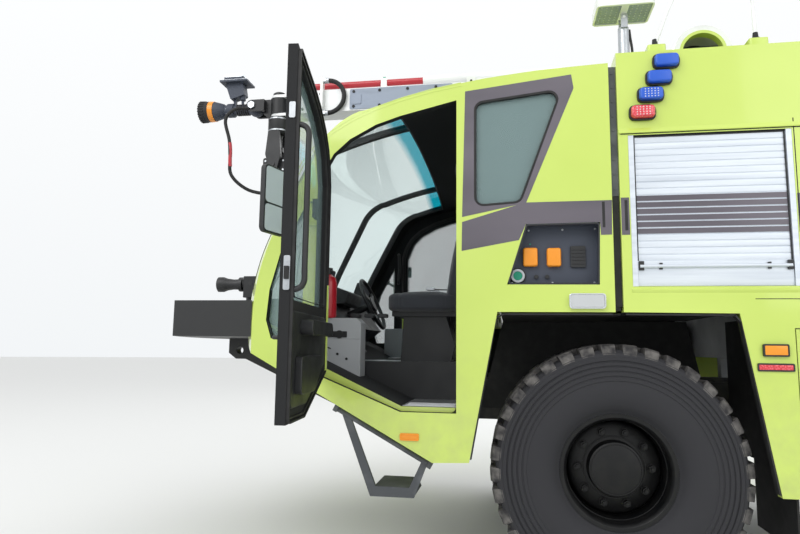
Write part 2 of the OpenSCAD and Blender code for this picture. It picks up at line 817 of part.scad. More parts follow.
module boom_nozzle() color("#1b1c1d") {
    translate([tilt_x, 0, tilt_z]) {
        bar_y([0, 0, 0], tilt_r - pin_slack, 212);
        bar_y([0, 0, 0], 62, 148);
        rotate([0, -90, 0]) {
            cylinder(r = 48, h = 300);
            translate([0, 0, 280]) cylinder(r1 = 62, r2 = 88, h = 240);
        }
        // camera on its plate over the barrel
        box([-210, -14, 40], [-190, 14, 240]);
        box([-320, -90, 240], [-60, 90, 265]);
        box([-300, -45, 265], [-120, 45, 330]);
    }
}

module at_cylinder() {
    both() translate([turn_x + cyl_base[0], -cyl_y, lift_z + cyl_base[1]]) rotate([0, 90 - cyl_lean, 0])
        children();
}

module lift_barrels() color("#3a3c3e") {
    at_cylinder() {
        difference() {
            translate([0, 0, -40]) cylinder(r = cyl_r, h = cyl_body + 40);
            translate([0, 0, 60]) cylinder(r = cyl_rod_r + 2, h = cyl_body - 100);
            translate([0, 0, 60]) cylinder(r = cyl_rod_r + gap, h = cyl_body);
        }
        translate([0, -20, 0]) rotate([90, 0, 0]) cylinder(r = cyl_pin_r - pin_slack, h = 55);
    }
}

module lift_rods() color("#d5d8db") {
    at_cylinder() {
        translate([0, 0, 70]) cylinder(r = cyl_rod_r, h = cyl_len - 70);
        translate([0, 0, cyl_len]) rotate([90, 0, 0]) cylinder(r = 40, h = 46, center = true);
    }
}

// Bumper turret

turret_x = -2730;
turret_tilt = 250;
turret_pin_r = 20;

module turret_base() color("#26282a") {
    translate([turret_x, 0, bumper_z1 + gap]) {
        cylinder(r = 110, h = 40);
        cylinder(r = 70, h = 150);
        box([-60, -105, 130], [60, 105, 160]);
        both() difference() {
            box([-60, -105, 150], [60, -80, turret_tilt + 60]);
            bar_y([0, -92, turret_tilt], turret_pin_r, 100);
        }
    }
}

module turret_nozzle() color("#1b1c1d") {
    translate([turret_x, 0, bumper_z1 + gap + turret_tilt]) {
        bar_y([0, 0, 0], turret_pin_r - pin_slack, 214);
        bar_y([0, 0, 0], 60, 148);
        rotate([0, -90, 0]) cylinder(r1 = 45, r2 = 65, h = 330);
    }
}

// Light mast

mast_x = 160;
mast_y = -1125;
mast_r = 45;
mast_low = 1900;
mast_inner_r = 34;
mast_top = 3440;
tilt_pin_r = 10;

module mast_tube() color("#8f9295") {
    translate([mast_x, mast_y, mast_low]) difference() {
        cylinder(r = mast_r, h = body_top + 90 - mast_low);
        translate([0, 0, 20]) cylinder(r = mast_inner_r + slide_gap / 2, h = body_top + 50 - mast_low);
        translate([0, 0, 20]) cylinder(r = mast_inner_r + gap, h = body_top + 90 - mast_low);
    }
}

module mast() color("#c9ccd0") {
    translate([mast_x, mast_y, 0]) {
        translate([0, 0, mast_low + 26]) cylinder(r = mast_inner_r, h = mast_top - 60 - mast_low - 26);
        both() difference() {
            union() {
                box([-20, -46, mast_top - 60], [20, -36, mast_top + 20]);
                box([-20, -46, mast_top - 70], [20, 0, mast_top - 58]);
            }
            bar_y([0, -41, mast_top], tilt_pin_r, 30);
        }
    }
}

module mast_lamp() color("#e9ecee") {
    translate([mast_x, mast_y, mast_top]) {
        bar_y([0, 0, 0], tilt_pin_r - pin_slack, 92);
        box([-12, -28, -12], [12, 28, 40]);
        box([-175, -130, 34], [175, 130, 104]);
    }
}

ladder_y = [-950, -550];
ladder_off = 80;

module rear_ladder() color("#c9ccd0") {
    for (y = ladder_y) {
        box([tail_x + ladder_off, y, 1150], [tail_x + ladder_off + 30, y + 30, body_top]);
        for (z = [1300, 2100, 2900]) box([tail_x + gap, y, z], [tail_x + ladder_off + 1, y + 30, z + 30]);
    }
    for (z = [1250:300:2900])
        box([tail_x + ladder_off, ladder_y[0], z], [tail_x + ladder_off + 30, ladder_y[1] + 30, z + 25]);
}

module boom_rest() color("#2b2c2e") {
    box([-760, -160, crown_z], [-640, 160, outer_z - outer_h / 2 - 6]);
}

frame();
crossmembers();
springs();
front_axle();
rear_axles();
knuckle();  // knuckle_l
mirror([0, 1, 0]) knuckle();  // knuckle_r
wheel_at(0, false) tyre();  // tyre_1l
wheel_at(0, true) tyre();  // tyre_1r
wheel_at(1, false) tyre();  // tyre_2l
wheel_at(1, true) tyre();  // tyre_2r
wheel_at(2, false) tyre();  // tyre_3l
wheel_at(2, true) tyre();  // tyre_3r
wheel_at(0, false) wheel();  // wheel_1l
wheel_at(0, true) wheel();  // wheel_1r
wheel_at(1, false) wheel();  // wheel_2l
wheel_at(1, true) wheel();  // wheel_2r
wheel_at(2, false) wheel();  // wheel_3l
wheel_at(2, true) wheel();  // wheel_3r
cab();
windscreen();
side_glass();
door_open(door_stand) door_leaf();  // door_l
mirror([0, 1, 0]) door_leaf();  // door_r
door_open(door_stand) door_pane();  // door_glass_l
mirror([0, 1, 0]) door_pane();  // door_glass_r
dash();
steering_wheel();
seats();
bumper();
headlamps();
step();  // step_l
mirror([0, 1, 0]) step();  // step_r
mirrors();
body();
roof_deck();
tank();
roller_doors();
side_lockers();
engine_grilles();
engine();
warning_lamps();
marker_lamps();
mudflaps();
turntable();
lower_boom();
upper_boom();
inner_boom();
boom_head();
boom_nozzle();
lift_barrels();
lift_rods();
turret_base();
turret_nozzle();
mast_tube();
mast();
mast_lamp();
rear_ladder();
boom_rest();
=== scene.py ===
"""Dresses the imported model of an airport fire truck. Lengths are in metres, the front is -X, the driver's
side is -Y and up is +Z, with the origin on the ground under the middle of the front axle."""

import math

import bmesh
import bpy
from bpy.props import FloatProperty, FloatVectorProperty, IntProperty, PointerProperty
from mathutils import Matrix, Vector


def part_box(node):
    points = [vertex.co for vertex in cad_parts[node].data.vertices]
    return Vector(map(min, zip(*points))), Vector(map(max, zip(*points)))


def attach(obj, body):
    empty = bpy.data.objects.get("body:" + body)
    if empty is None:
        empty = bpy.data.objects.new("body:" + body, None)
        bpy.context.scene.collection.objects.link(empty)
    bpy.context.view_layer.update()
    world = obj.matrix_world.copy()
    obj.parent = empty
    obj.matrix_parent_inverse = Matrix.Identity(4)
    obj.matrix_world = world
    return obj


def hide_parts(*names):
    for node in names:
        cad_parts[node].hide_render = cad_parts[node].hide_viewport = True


bl_info = {
    "name": "Airport Fire Truck",
    "version": (1, 0, 0),
    "blender": (4, 5, 0),
    "location": "View3D > Sidebar > Fire Truck",
    "description": "Paint, tyres, lamps, shutters, cab fittings and boom fittings of an airport fire truck",
    "category": "Object",
}

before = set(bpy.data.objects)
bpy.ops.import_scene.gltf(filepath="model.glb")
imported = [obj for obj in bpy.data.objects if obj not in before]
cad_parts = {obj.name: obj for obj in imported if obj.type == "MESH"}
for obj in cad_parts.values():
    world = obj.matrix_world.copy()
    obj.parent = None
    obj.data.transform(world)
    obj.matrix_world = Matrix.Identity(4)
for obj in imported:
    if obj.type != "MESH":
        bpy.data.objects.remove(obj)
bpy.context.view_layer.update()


# Colours

def linear(code):
    """The linear values, with alpha, of an sRGB hex colour."""
    values = [int(code[i:i + 2], 16) / 255 for i in (1, 3, 5)]
    return tuple(v / 12.92 if v <= 0.04045 else ((v + 0.055) / 1.055) ** 2.4 for v in values) + (1.0,)


LIME = "#BED35E"
LINING = "#17181A"
STRIPE = "#38343D"
SATIN_BLACK = "#1B1C1E"
ROAD_DUST = "#8D8778"
TYRE_BLACK = "#0B0B0D"
GLASS_TINT = "#93B3B4"
BOOM_WHITE = "#E6E8E8"
SHUTTER_SILVER = "#D3D9E0"
FLOOR_PALE = "#D9DAD9"


# Shader nodes

def add_node(tree, kind, inputs=None, **settings):
    """Adds a node with its settings; inputs are values, hex colours, or sockets to link from."""
    node = tree.nodes.new(kind)
    for name, value in settings.items():
        setattr(node, name, value)
    for key, value in (inputs or {}).items():
        if isinstance(value, bpy.types.NodeSocket):
            tree.links.new(value, node.inputs[key])
        else:
            node.inputs[key].default_value = linear(value) if str(value).startswith("#") else value
    return node


def new_finish(name, code, **values):
    """The node tree of a new material whose even values sit on the shader's own sockets."""
    material = bpy.data.materials.new(name)
    material.use_nodes = True
    shader = material.node_tree.nodes["Principled BSDF"]
    shader.inputs["Base Color"].default_value = material.diffuse_color = linear(code)
    for key, value in values.items():
        shader.inputs[key.replace("_", " ")].default_value = value
    return material.node_tree


def join(tree, **sockets):
    """Links sockets to the shader's inputs of those names."""
    for key, socket in sockets.items():
        tree.links.new(socket, tree.nodes["Principled BSDF"].inputs[key.replace("_", " ")])


def place(tree, stretch=(1, 1, 1)):
    """The piece's own metres, stretched."""
    spot = add_node(tree, "ShaderNodeTexCoord").outputs["Object"]
    return add_node(tree, "ShaderNodeMapping", {"Vector": spot, "Scale": stretch}).outputs["Vector"]


def grains(tree, size_mm, detail=3.0, stretch=(1, 1, 1)):
    """Soft noise with grains of a size in millimetres."""
    return add_node(tree, "ShaderNodeTexNoise", {"Vector": place(tree, stretch), "Scale": 1000 / size_mm,
                                                 "Detail": detail}).outputs["Fac"]


def spread(tree, value, low, high, to_low=0.0, to_high=1.0):
    """Maps a value's range onto another, clamped."""
    return add_node(tree, "ShaderNodeMapRange", {"Value": value, "From Min": low, "From Max": high,
                                                 "To Min": to_low, "To Max": to_high}).outputs["Result"]


def times(tree, first, second, operation="MULTIPLY"):
    """Multiplies two values, or does another sum with them."""
    return add_node(tree, "ShaderNodeMath", {0: first, 1: second}, operation=operation).outputs[0]


def mixed(tree, share, first, second):
    """A colour between two, each a hex colour or a socket."""
    return add_node(tree, "ShaderNodeMix", {0: share, 6: first, 7: second}, data_type="RGBA").outputs[2]


def relief(tree, height, depth_mm):
    """A bump normal of that depth over the surface."""
    return add_node(tree, "ShaderNodeBump", {"Height": height, "Distance": depth_mm / 1000,
                                             "Strength": 1.0}).outputs["Normal"]


def height_over_ground(tree):
    """A point's height over the ground, in metres."""
    return add_node(tree, "ShaderNodeSeparateXYZ", {0: place(tree)}).outputs["Z"]


def dust_share(tree, most, low, high):
    """How much road dust lies on a surface: most near the ground, none above the high mark."""
    low_down = spread(tree, height_over_ground(tree), low, high, most, 0.0)
    return times(tree, low_down, spread(tree, grains(tree, 90, 5.0), 0.35, 0.7))


# Finishes

def lime_enamel(name="lime_enamel"):
    """Two-pack enamel on flat panels: a deep even lime with a clear wet gloss and the faint waviness of
    sprayed sheet, duller low down where road film settles."""
    tree = new_finish(name, LIME, Roughness=0.32, IOR=1.5, Coat_Weight=0.7, Coat_Roughness=0.06)
    tone = mixed(tree, spread(tree, grains(tree, 900), 0.3, 0.7), LIME, "#C6DA68")
    colour = mixed(tree, dust_share(tree, 0.28, 0.55, 1.5), tone, ROAD_DUST)
    join(tree, Base_Color=colour, Roughness=spread(tree, grains(tree, 40), 0.3, 0.7, 0.28, 0.38),
         Normal=relief(tree, grains(tree, 60, 1.0), 0.25))
    return tree


def lined_enamel(name, inward):
    """The lime enamel with a dull black lining on every face turned to the inside; inward makes a socket that
    is above zero there."""
    tree = lime_enamel(name)
    lined = spread(tree, inward(tree), 0.0, 0.001)
    paint, gloss = (tree.nodes["Principled BSDF"].inputs[key].links[0].from_socket
                    for key in ("Base Color", "Roughness"))
    join(tree, Base_Color=mixed(tree, lined, paint, LINING),
         Roughness=add_node(tree, "ShaderNodeMix", {0: lined, 2: gloss, 3: 0.85}).outputs[0],
         Coat_Weight=spread(tree, lined, 0.0, 1.0, 0.7, 0.0))


def turned_to(middle, least):
    """A test for faces that look at the middle of a room."""
    def inward(tree):
        spot = add_node(tree, "ShaderNodeTexCoord")
        to_middle = add_node(tree, "ShaderNodeVectorMath", {0: middle, 1: spot.outputs["Object"]},
                             operation="SUBTRACT").outputs[0]
        facing = add_node(tree, "ShaderNodeVectorMath", {0: spot.outputs["Normal"], 1: to_middle},
                          operation="DOT_PRODUCT").outputs["Value"]
        return times(tree, facing, least, "SUBTRACT")
    return inward


def turned_to_below(middle, least, roof):
    """The same test, for faces under a roof's height only."""
    def inward(tree):
        under = times(tree, roof, height_over_ground(tree), "SUBTRACT")
        return times(tree, turned_to(middle, least)(tree), under, "MINIMUM")
    return inward


def turned_from(outward):
    """A test for faces that don't look outward."""
    def inward(tree):
        normal = add_node(tree, "ShaderNodeTexCoord").outputs["Normal"]
        facing = add_node(tree, "ShaderNodeVectorMath", {0: normal, 1: outward},
                          operation="DOT_PRODUCT").outputs["Value"]
        return times(tree, 0.5, facing, "SUBTRACT")
    return inward


def cab_enamel():
    """Lime outside; inside, the black trim cloth and moulded lining of the cab."""
    return lined_enamel("cab_enamel", turned_to((-1.0, 0.0, 2.0), 0.16))


def body_enamel():
    """Lime outside; black undercoat on the inner faces behind the panels and over the wheels."""
    return lined_enamel("body_enamel", turned_to_below((4.5, 0.0, 1.2), 0.05, 2.85))


def left_door_enamel():
    """Lime on the driver's door's outer skin, black on its inner faces and edges."""
    return lined_enamel("left_door_enamel", turned_from((-math.sin(DOOR_STAND), -math.cos(DOOR_STAND), 0.0)))


def right_door_enamel():
    """Lime on the passenger door's outer skin, black on its inner faces and edges."""
    return lined_enamel("right_door_enamel", turned_from((0.0, 1.0, 0.0)))


def red_enamel():
    """Red enamel on the water pipe: deep and glossy, as pipework that must be found is painted."""
    tree = new_finish("red_enamel", "#B01C2A", Roughness=0.35, IOR=1.5, Coat_Weight=0.3)
    join(tree, Normal=relief(tree, grains(tree, 30, 1.0), 0.15))


def slate_panel():
    """Slate powder coat on the service panel: an even blue-grey with a fine sand texture."""
    tree = new_finish("slate_panel", "#3C424F", Roughness=0.6, IOR=1.5)
    join(tree, Normal=relief(tree, grains(tree, 2.5), 0.12))


def grey_moulding():
    """Mid-grey moulded trim: matt, with a fine leather grain."""
    tree = new_finish("grey_moulding", "#A4A7AA", Roughness=0.6, IOR=1.5)
    cells = add_node(tree, "ShaderNodeTexVoronoi",
                     {"Vector": place(tree), "Scale": 300.0}).outputs["Distance"]
    join(tree, Normal=relief(tree, cells, 0.3))


def green_plastic():
    """Green coupling ring: a bright even moulding."""
    tree = new_finish("green_plastic", "#0F9A78", Roughness=0.35, IOR=1.5)
    join(tree, Normal=relief(tree, grains(tree, 6), 0.1))


def mirror_glass():
    """Silvered glass under an overcast sky: pale and bright from a near-white base colour that is a painted
    reflection of the sky, with a clean reflection and a faint ripple.
    """
    # painted reflection: the near-white base colour stands in for the bright sky seen in the mirror
    tree = new_finish("mirror_glass", "#EDF1F3", Metallic=0.25, Roughness=0.03, IOR=1.5)
    join(tree, Normal=relief(tree, grains(tree, 200, 0.0), 0.05))


def chassis_enamel():
    """Satin black enamel on rolled steel: dark, half dull, with dust on the lower parts."""
    tree = new_finish("chassis_enamel", SATIN_BLACK, Roughness=0.5, IOR=1.5)
    colour = mixed(tree, dust_share(tree, 0.35, 0.3, 1.4), SATIN_BLACK, ROAD_DUST)
    join(tree, Base_Color=colour, Normal=relief(tree, grains(tree, 12), 0.2))


def step_enamel():
    """Grey powder coat on pressed steel: fine orange peel and scuffs where boots land."""
    tree = new_finish("step_enamel", "#3E4144", Roughness=0.55, IOR=1.5)
    scuffs = spread(tree, grains(tree, 140, 6.0), 0.5, 0.75)
    join(tree, Base_Color=mixed(tree, scuffs, "#474A4E", "#63666A"),
         Normal=relief(tree, grains(tree, 4), 0.1))


def wheel_enamel():
    """Gloss black enamel on a pressed steel wheel: near black with soft highlights on its rolled lips."""
    tree = new_finish("wheel_enamel", "#07080A", Roughness=0.42, IOR=1.4)
    film = times(tree, spread(tree, grains(tree, 70, 5.0), 0.4, 0.75), 0.08)
    join(tree, Base_Color=mixed(tree, film, "#07080A", "#4A4740"),
         Normal=relief(tree, grains(tree, 15), 0.15))


def tyre_rubber():
    """Moulded tyre rubber: charcoal and dull, greyer where dust clings to the lugs and ribs."""
    tree = new_finish("tyre_rubber", TYRE_BLACK, Roughness=0.86, IOR=1.35)
    cloud = spread(tree, grains(tree, 160, 6.0), 0.35, 0.7)
    colour = mixed(tree, times(tree, cloud, 0.35), TYRE_BLACK, "#262524")
    join(tree, Base_Color=colour, Normal=relief(tree, grains(tree, 5, 4.0), 0.4))


def scuffed_rubber():
    """The same rubber where it meets the road: worn to a paler, dustier grey."""
    tree = new_finish("scuffed_rubber", "#3D3C3C", Roughness=0.88, IOR=1.52)
    cloud = spread(tree, grains(tree, 45, 6.0), 0.35, 0.68)
    join(tree, Base_Color=mixed(tree, cloud, "#2A292B", "#6A6764"),
         Normal=relief(tree, grains(tree, 6, 4.0), 0.6))


def sheet_rubber():
    """Extruded or moulded sheet rubber: matt black with a slight bloom."""
    tree = new_finish("sheet_rubber", "#161617", Roughness=0.7, IOR=1.52)
    bloom = spread(tree, grains(tree, 60, 4.0), 0.4, 0.75)
    join(tree, Base_Color=mixed(tree, times(tree, bloom, 0.2), "#161617", "#4A4948"))


def black_moulding():
    """Grained black ABS: a soft sheen broken by a leather-like grain about 2 mm across."""
    tree = new_finish("black_moulding", "#1D1E20", Roughness=0.48, IOR=1.53)
    cells = add_node(tree, "ShaderNodeTexVoronoi",
                     {"Vector": place(tree), "Scale": 350.0}).outputs["Distance"]
    join(tree, Normal=relief(tree, cells, 0.25),
         Roughness=spread(tree, grains(tree, 120), 0.3, 0.7, 0.42, 0.56))


def seat_cloth():
    """Woven seat cloth: charcoal with threads about 1.5 mm apart, drawn at 4 mm so that the weave shows."""
    tree = new_finish("seat_cloth", "#34363B", Roughness=0.9, IOR=1.45, Sheen_Weight=0.3,
                      Sheen_Roughness=0.5)
    thread = 2 * math.pi / 0.004
    waves = [add_node(tree, "ShaderNodeMath", {0: times(tree, socket, thread)}, operation="SINE").outputs[0]
             for socket in add_node(tree, "ShaderNodeSeparateXYZ", {0: place(tree)}).outputs]
    weave = times(tree, times(tree, waves[0], waves[1]), times(tree, waves[1], waves[2]), "ADD")
    join(tree, Base_Color=mixed(tree, spread(tree, weave, -1, 1), "#2A2C31", "#43464D"),
         Normal=relief(tree, weave, 0.5))


def tinted_glass(name="tinted_glass"):
    """Green-grey laminated glass: clear enough to see the cab, with a cool body tint and sharp gloss."""
    tree = new_finish(name, GLASS_TINT, Roughness=0.02, IOR=1.5, Transmission_Weight=1.0)
    film = spread(tree, grains(tree, 300, 4.0), 0.4, 0.8, 0.01, 0.08)
    join(tree, Roughness=film)
    return tree


def screen_glass():
    """The windscreen's laminated glass: pale green-grey, with a teal sun band along its top edge."""
    tree = tinted_glass("screen_glass")
    run = add_node(tree, "ShaderNodeSeparateXYZ", {0: place(tree)}).outputs["X"]
    join(tree, Base_Color=mixed(tree, spread(tree, run, -1.40, -1.34), "#E4F1EF", "#12A3B6"))


def clear_lens():
    """Moulded polycarbonate lens: water clear with upright flutes 8 mm apart."""
    tree = new_finish("clear_lens", "#F2F6F8", Roughness=0.06, IOR=1.58, Transmission_Weight=0.85)
    across = add_node(tree, "ShaderNodeSeparateXYZ", {0: place(tree)}).outputs["Y"]
    flutes = add_node(tree, "ShaderNodeMath", {0: times(tree, across, 2 * math.pi / 0.008)}, operation="SINE")
    join(tree, Normal=relief(tree, flutes.outputs[0], 0.6))


def coloured_lens(name, code, bright):
    """Moulded lens in one colour over a bright reflector: glossy, deep, with 9 mm pillow optics; the paler
    colour at each optic's middle is a painted highlight for the reflector's glint.
    """
    tree = new_finish(name, code, Roughness=0.12, IOR=1.58, Coat_Weight=0.8, Coat_Roughness=0.03)
    cells = add_node(tree, "ShaderNodeTexVoronoi", {"Vector": place(tree), "Scale": 1000 / 9},
                     feature="F1").outputs["Distance"]
    # painted highlight: the pale colour at each optic's middle stands in for light glinting off the reflector
    painted_glint = spread(tree, cells, 0.0, 0.7)
    join(tree, Base_Color=mixed(tree, painted_glint, bright, code), Normal=relief(tree, cells, 0.8))


def blue_lens():
    """Blue warning lens: saturated, with brighter painted highlights at the optics."""
    coloured_lens("blue_lens", "#1E78DA", "#56AAF4")


def red_lens():
    """Red warning lens or reflector: saturated, with pinker painted highlights at the optics."""
    coloured_lens("red_lens", "#C81A2C", "#F0606C")


def amber_lens():
    """Amber marker lens: warm orange with brighter painted highlights on its pillows."""
    coloured_lens("amber_lens", "#D9720F", "#F7A93C")


def anodised_slats():
    """Satin anodised aluminium: pale silver with streaks drawn out along the slat."""
    tree = new_finish("anodised_slats", SHUTTER_SILVER, Metallic=0.55, Roughness=0.42)
    streak = grains(tree, 30, 4.0, (0.05, 1, 1))
    join(tree, Base_Color=mixed(tree, spread(tree, streak, 0.3, 0.7), "#C9D0D9", "#DDE3EA"),
         Roughness=spread(tree, streak, 0.3, 0.7, 0.36, 0.5))


def bare_aluminium():
    """Milled or cast aluminium: bright grey metal with fine mill marks and dull patches."""
    tree = new_finish("bare_aluminium", "#B9BDC1", Metallic=1.0, Roughness=0.35)
    join(tree, Roughness=spread(tree, grains(tree, 35, 5.0), 0.3, 0.7, 0.26, 0.5),
         Normal=relief(tree, grains(tree, 8, 3.0, (1, 1, 6)), 0.1))


def hard_chrome():
    """Hard chrome on a ground rod: a near mirror with faint rings from grinding."""
    tree = new_finish("hard_chrome", "#DDE0E2", Metallic=1.0, Roughness=0.1)
    join(tree, Roughness=spread(tree, grains(tree, 20), 0.3, 0.7, 0.07, 0.16))


def tread_plate():
    """Aluminium tread plate: raised lozenges 25 mm apart that catch the light, dull between them."""
    tree = new_finish("tread_plate", "#A9ADB0", Metallic=1.0, Roughness=0.42)
    spot = add_node(tree, "ShaderNodeSeparateXYZ", {0: place(tree)}).outputs
    pitch = math.pi / 0.0125
    waves = []
    for mode in ("ADD", "SUBTRACT"):
        angle = times(tree, times(tree, spot["X"], spot["Y"], mode), pitch)
        waves.append(add_node(tree, "ShaderNodeMath", {0: angle}, operation="SINE").outputs[0])
    bars = spread(tree, times(tree, waves[0], waves[1]), 0.35, 0.6)
    join(tree, Normal=relief(tree, bars, 1.5),
         Base_Color=mixed(tree, spread(tree, grains(tree, 80, 5.0), 0.4, 0.7), "#A9ADB0", "#7C7E7E"))


def boom_enamel():
    """Gloss white enamel on the boom's folded steel: clean, with grease film near its slides."""
    tree = new_finish("boom_enamel", BOOM_WHITE, Roughness=0.35, IOR=1.5, Coat_Weight=0.4,
                      Coat_Roughness=0.1)
    film = times(tree, spread(tree, grains(tree, 120, 6.0, (0.2, 1, 1)), 0.5, 0.8), 0.35)
    join(tree, Base_Color=mixed(tree, film, BOOM_WHITE, "#A7A69F"),
         Normal=relief(tree, grains(tree, 50, 1.0), 0.2))


def grey_enamel():
    """Blue-grey enamel on bolted plates and castings: satin, with handling marks."""
    tree = new_finish("grey_enamel", "#8E98AA", Roughness=0.45, IOR=1.5)
    marks = times(tree, spread(tree, grains(tree, 60, 6.0, (0.3, 1, 1)), 0.5, 0.8), 0.3)
    join(tree, Base_Color=mixed(tree, marks, "#8E98AA", "#5C626C"),
         Normal=relief(tree, grains(tree, 12), 0.15))


def tank_moulding():
    """Rotationally moulded polypropylene: pale grey, waxy and slightly uneven."""
    tree = new_finish("tank_moulding", "#B4B7BA", Roughness=0.6, IOR=1.49, Subsurface_Weight=0.0)
    join(tree, Base_Color=mixed(tree, spread(tree, grains(tree, 200), 0.3, 0.7), "#A8ABAE", "#BEC1C3"),
         Normal=relief(tree, grains(tree, 30), 0.6))


def cast_engine():
    """Painted cast iron: grey, rough-cast, with oil stains."""
    tree = new_finish("cast_engine", "#4A4D50", Roughness=0.6, IOR=1.5)
    stain = spread(tree, grains(tree, 150, 6.0), 0.5, 0.75)
    join(tree, Base_Color=mixed(tree, stain, "#4A4D50", "#24221F"),
         Normal=relief(tree, grains(tree, 9, 4.0), 0.7))


def stripe_film():
    """Retroreflective vinyl: a dark purple-grey film with a low pearly sheen over its glass beads."""
    tree = new_finish("stripe_film", STRIPE, Roughness=0.4, IOR=1.5, Coat_Weight=0.4, Coat_Roughness=0.15)
    beads = spread(tree, grains(tree, 260, 2.0, (0.3, 1, 1)), 0.3, 0.7)
    join(tree, Base_Color=mixed(tree, beads, "#4E4952", "#625C65"))


# The makers of the finishes, under the record's slot that their pieces belong to
SLOT_MAKERS = {
    "": (cab_enamel, body_enamel, left_door_enamel, right_door_enamel, screen_glass, grey_enamel),
    "lime_paint": (lime_enamel, stripe_film), "boom_white": (boom_enamel, red_enamel),
    "black_plastic": (black_moulding, slate_panel, grey_moulding, green_plastic),
    "silver_slat": (anodised_slats, bare_aluminium, mirror_glass),
    "tyre_rubber": (tyre_rubber, scuffed_rubber),
    "amber_lens": (amber_lens, red_lens), "blue_lens": (blue_lens,), "clear_lens": (clear_lens,),
    "chassis_black": (chassis_enamel,), "grey_steel": (step_enamel,), "wheel_black": (wheel_enamel,),
    "black_rubber": (sheet_rubber,), "seat_fabric": (seat_cloth,), "tinted_glass": (tinted_glass,),
    "chrome_rod": (hard_chrome,), "tread_plate": (tread_plate,), "grey_tank": (tank_moulding,),
    "engine_grey": (cast_engine,),
}
FINISHES = {maker.__name__: (maker, slot) for slot, makers in SLOT_MAKERS.items() for maker in makers}


def finish(name):
    """The named material, made on first use."""
    if name not in bpy.data.materials:
        FINISHES[name][0]()
    return bpy.data.materials[name]


# Mesh tools

def box(bm, low, high):
    """A box between two corners."""
    size = Vector(high) - Vector(low)
    middle = (Vector(high) + Vector(low)) / 2
    made = bmesh.ops.create_cube(bm, size=1.0)["verts"]
    bmesh.ops.scale(bm, vec=size, verts=made)
    bmesh.ops.translate(bm, vec=middle, verts=made)
    return made


def bar(bm, start, end, radius, sides=20, end_radius=None):
    """A round bar between two points, tapered if its end radius differs."""
    start, end = Vector(start), Vector(end)
    run = end - start
    matrix = Matrix.Translation((start + end) / 2) @ run.to_track_quat("Z", "Y").to_matrix().to_4x4()
    return bmesh.ops.create_cone(bm, cap_ends=True, segments=sides, radius1=radius,
                                 radius2=radius if end_radius is None else end_radius,
                                 depth=run.length, matrix=matrix)["verts"]


def peg(bm, x, z, start, end, radius, sides=20):
    """A round bar across the truck, between two places in Y."""
    return bar(bm, (x, start, z), (x, end, z), radius, sides)


def at(spot, axis="X", degrees=90):
    """A turn about one axis, carried to a spot."""
    return Matrix.Translation(spot) @ Matrix.Rotation(math.radians(degrees), 4, axis)


def skin(bm, rings, capped=True, closed=True):
    """Joins rings of verts one to the next; each ring may be open, and the two ends may be capped."""
    for here, there in zip(rings, rings[1:]):
        for j in range(len(here) if closed else len(here) - 1):
            k = (j + 1) % len(here)
            bm.faces.new((here[j], there[j], there[k], here[k]))
    if capped:
        bm.faces.new(rings[0])
        bm.faces.new(rings[-1][::-1])


def turned(bm, profile, matrix, steps=64, closed=True):
    """A shape of revolution: (radius, height) points turned about the matrix's own Z."""
    rings = []
    for i in range(steps):
        a = 2 * math.pi * i / steps
        rings.append([bm.verts.new(matrix @ Vector((r * math.cos(a), r * math.sin(a), h)))
                      for r, h in profile])
    skin(bm, rings + rings[:1], capped=False, closed=closed)


def prism(bm, outline, start, end, axis="Y"):
    """An outline of two coordinates, extruded along the third axis from start to end."""
    spots = {"X": lambda p, d: (d, p[0], p[1]), "Y": lambda p, d: (p[0], d, p[1]),
             "Z": lambda p, d: (p[0], p[1], d)}[axis]
    low = [bm.verts.new(spots(p, start)) for p in outline]
    high = [bm.verts.new(spots(p, end)) for p in outline]
    skin(bm, [low, high])
    return low + high


def rounded(outline, radius, steps=5):
    """An outline with its corners rounded."""
    points = []
    for i, corner in enumerate(Vector(p) for p in outline):
        to_last = (Vector(outline[i - 1]) - corner).normalized()
        to_next = (Vector(outline[(i + 1) % len(outline)]) - corner).normalized()
        half = to_last.angle(to_next) / 2
        middle = corner + (to_last + to_next).normalized() * radius / math.sin(half)
        first = corner + to_last * radius / math.tan(half) - middle
        turn = first.angle_signed(corner + to_next * radius / math.tan(half) - middle)
        points += [tuple(middle + Matrix.Rotation(-turn * k / steps, 2) @ first) for k in range(steps + 1)]
    return points


def rectangle(x0, z0, x1, z1):
    """The outline of a rectangle between two corners."""
    return [(x0, z0), (x1, z0), (x1, z1), (x0, z1)]


def inset(outline, by):
    """The same outline drawn in by a distance, mitred at its corners."""
    size = len(outline)
    area = sum(outline[i - 1][0] * outline[i][1] - outline[i][0] * outline[i - 1][1] for i in range(size))
    by = math.copysign(by, area)
    points = []
    for i in range(size):
        corner = Vector(outline[i])
        before = (corner - Vector(outline[i - 1])).normalized()
        after = (Vector(outline[(i + 1) % size]) - corner).normalized()
        miter = Vector((-before.y - after.y, before.x + after.x))
        points.append(tuple(corner + miter * by * 2 / miter.length_squared))
    return points


def pillow(bm, low, high, crown, seams, matrix=Matrix()):
    """A stuffed block: rounded all round, crowned on its top, with sewn channels pressed into it."""
    soft = bmesh.new()
    bmesh.ops.create_cube(soft, size=2.0)
    bmesh.ops.subdivide_edges(soft, edges=soft.edges[:], cuts=23, use_grid_fill=True)
    half = (Vector(high) - Vector(low)) / 2
    middle = (Vector(high) + Vector(low)) / 2
    spots = {}
    for vert in soft.verts:
        u, v, w = vert.co
        size = (abs(u) ** 6 + abs(v) ** 6 + abs(w) ** 6) ** (1 / 6)
        u, v, w = u / size, v / size, w / size
        sewn = sum(math.exp(-((abs(c) - seam) / 0.035) ** 2) for seam in seams for c in (u, v))
        rise = crown * (1 - u * u) * (1 - v * v) - 0.009 * min(sewn, 1.0) * (w > 0.6)
        high_by = rise if w > 0 else 0.0
        spots[vert] = bm.verts.new(matrix @ (middle + Vector((u * half.x, v * half.y, w * half.z + high_by))))
    for face in soft.faces:
        bm.faces.new([spots[vert] for vert in face.verts])
    soft.free()


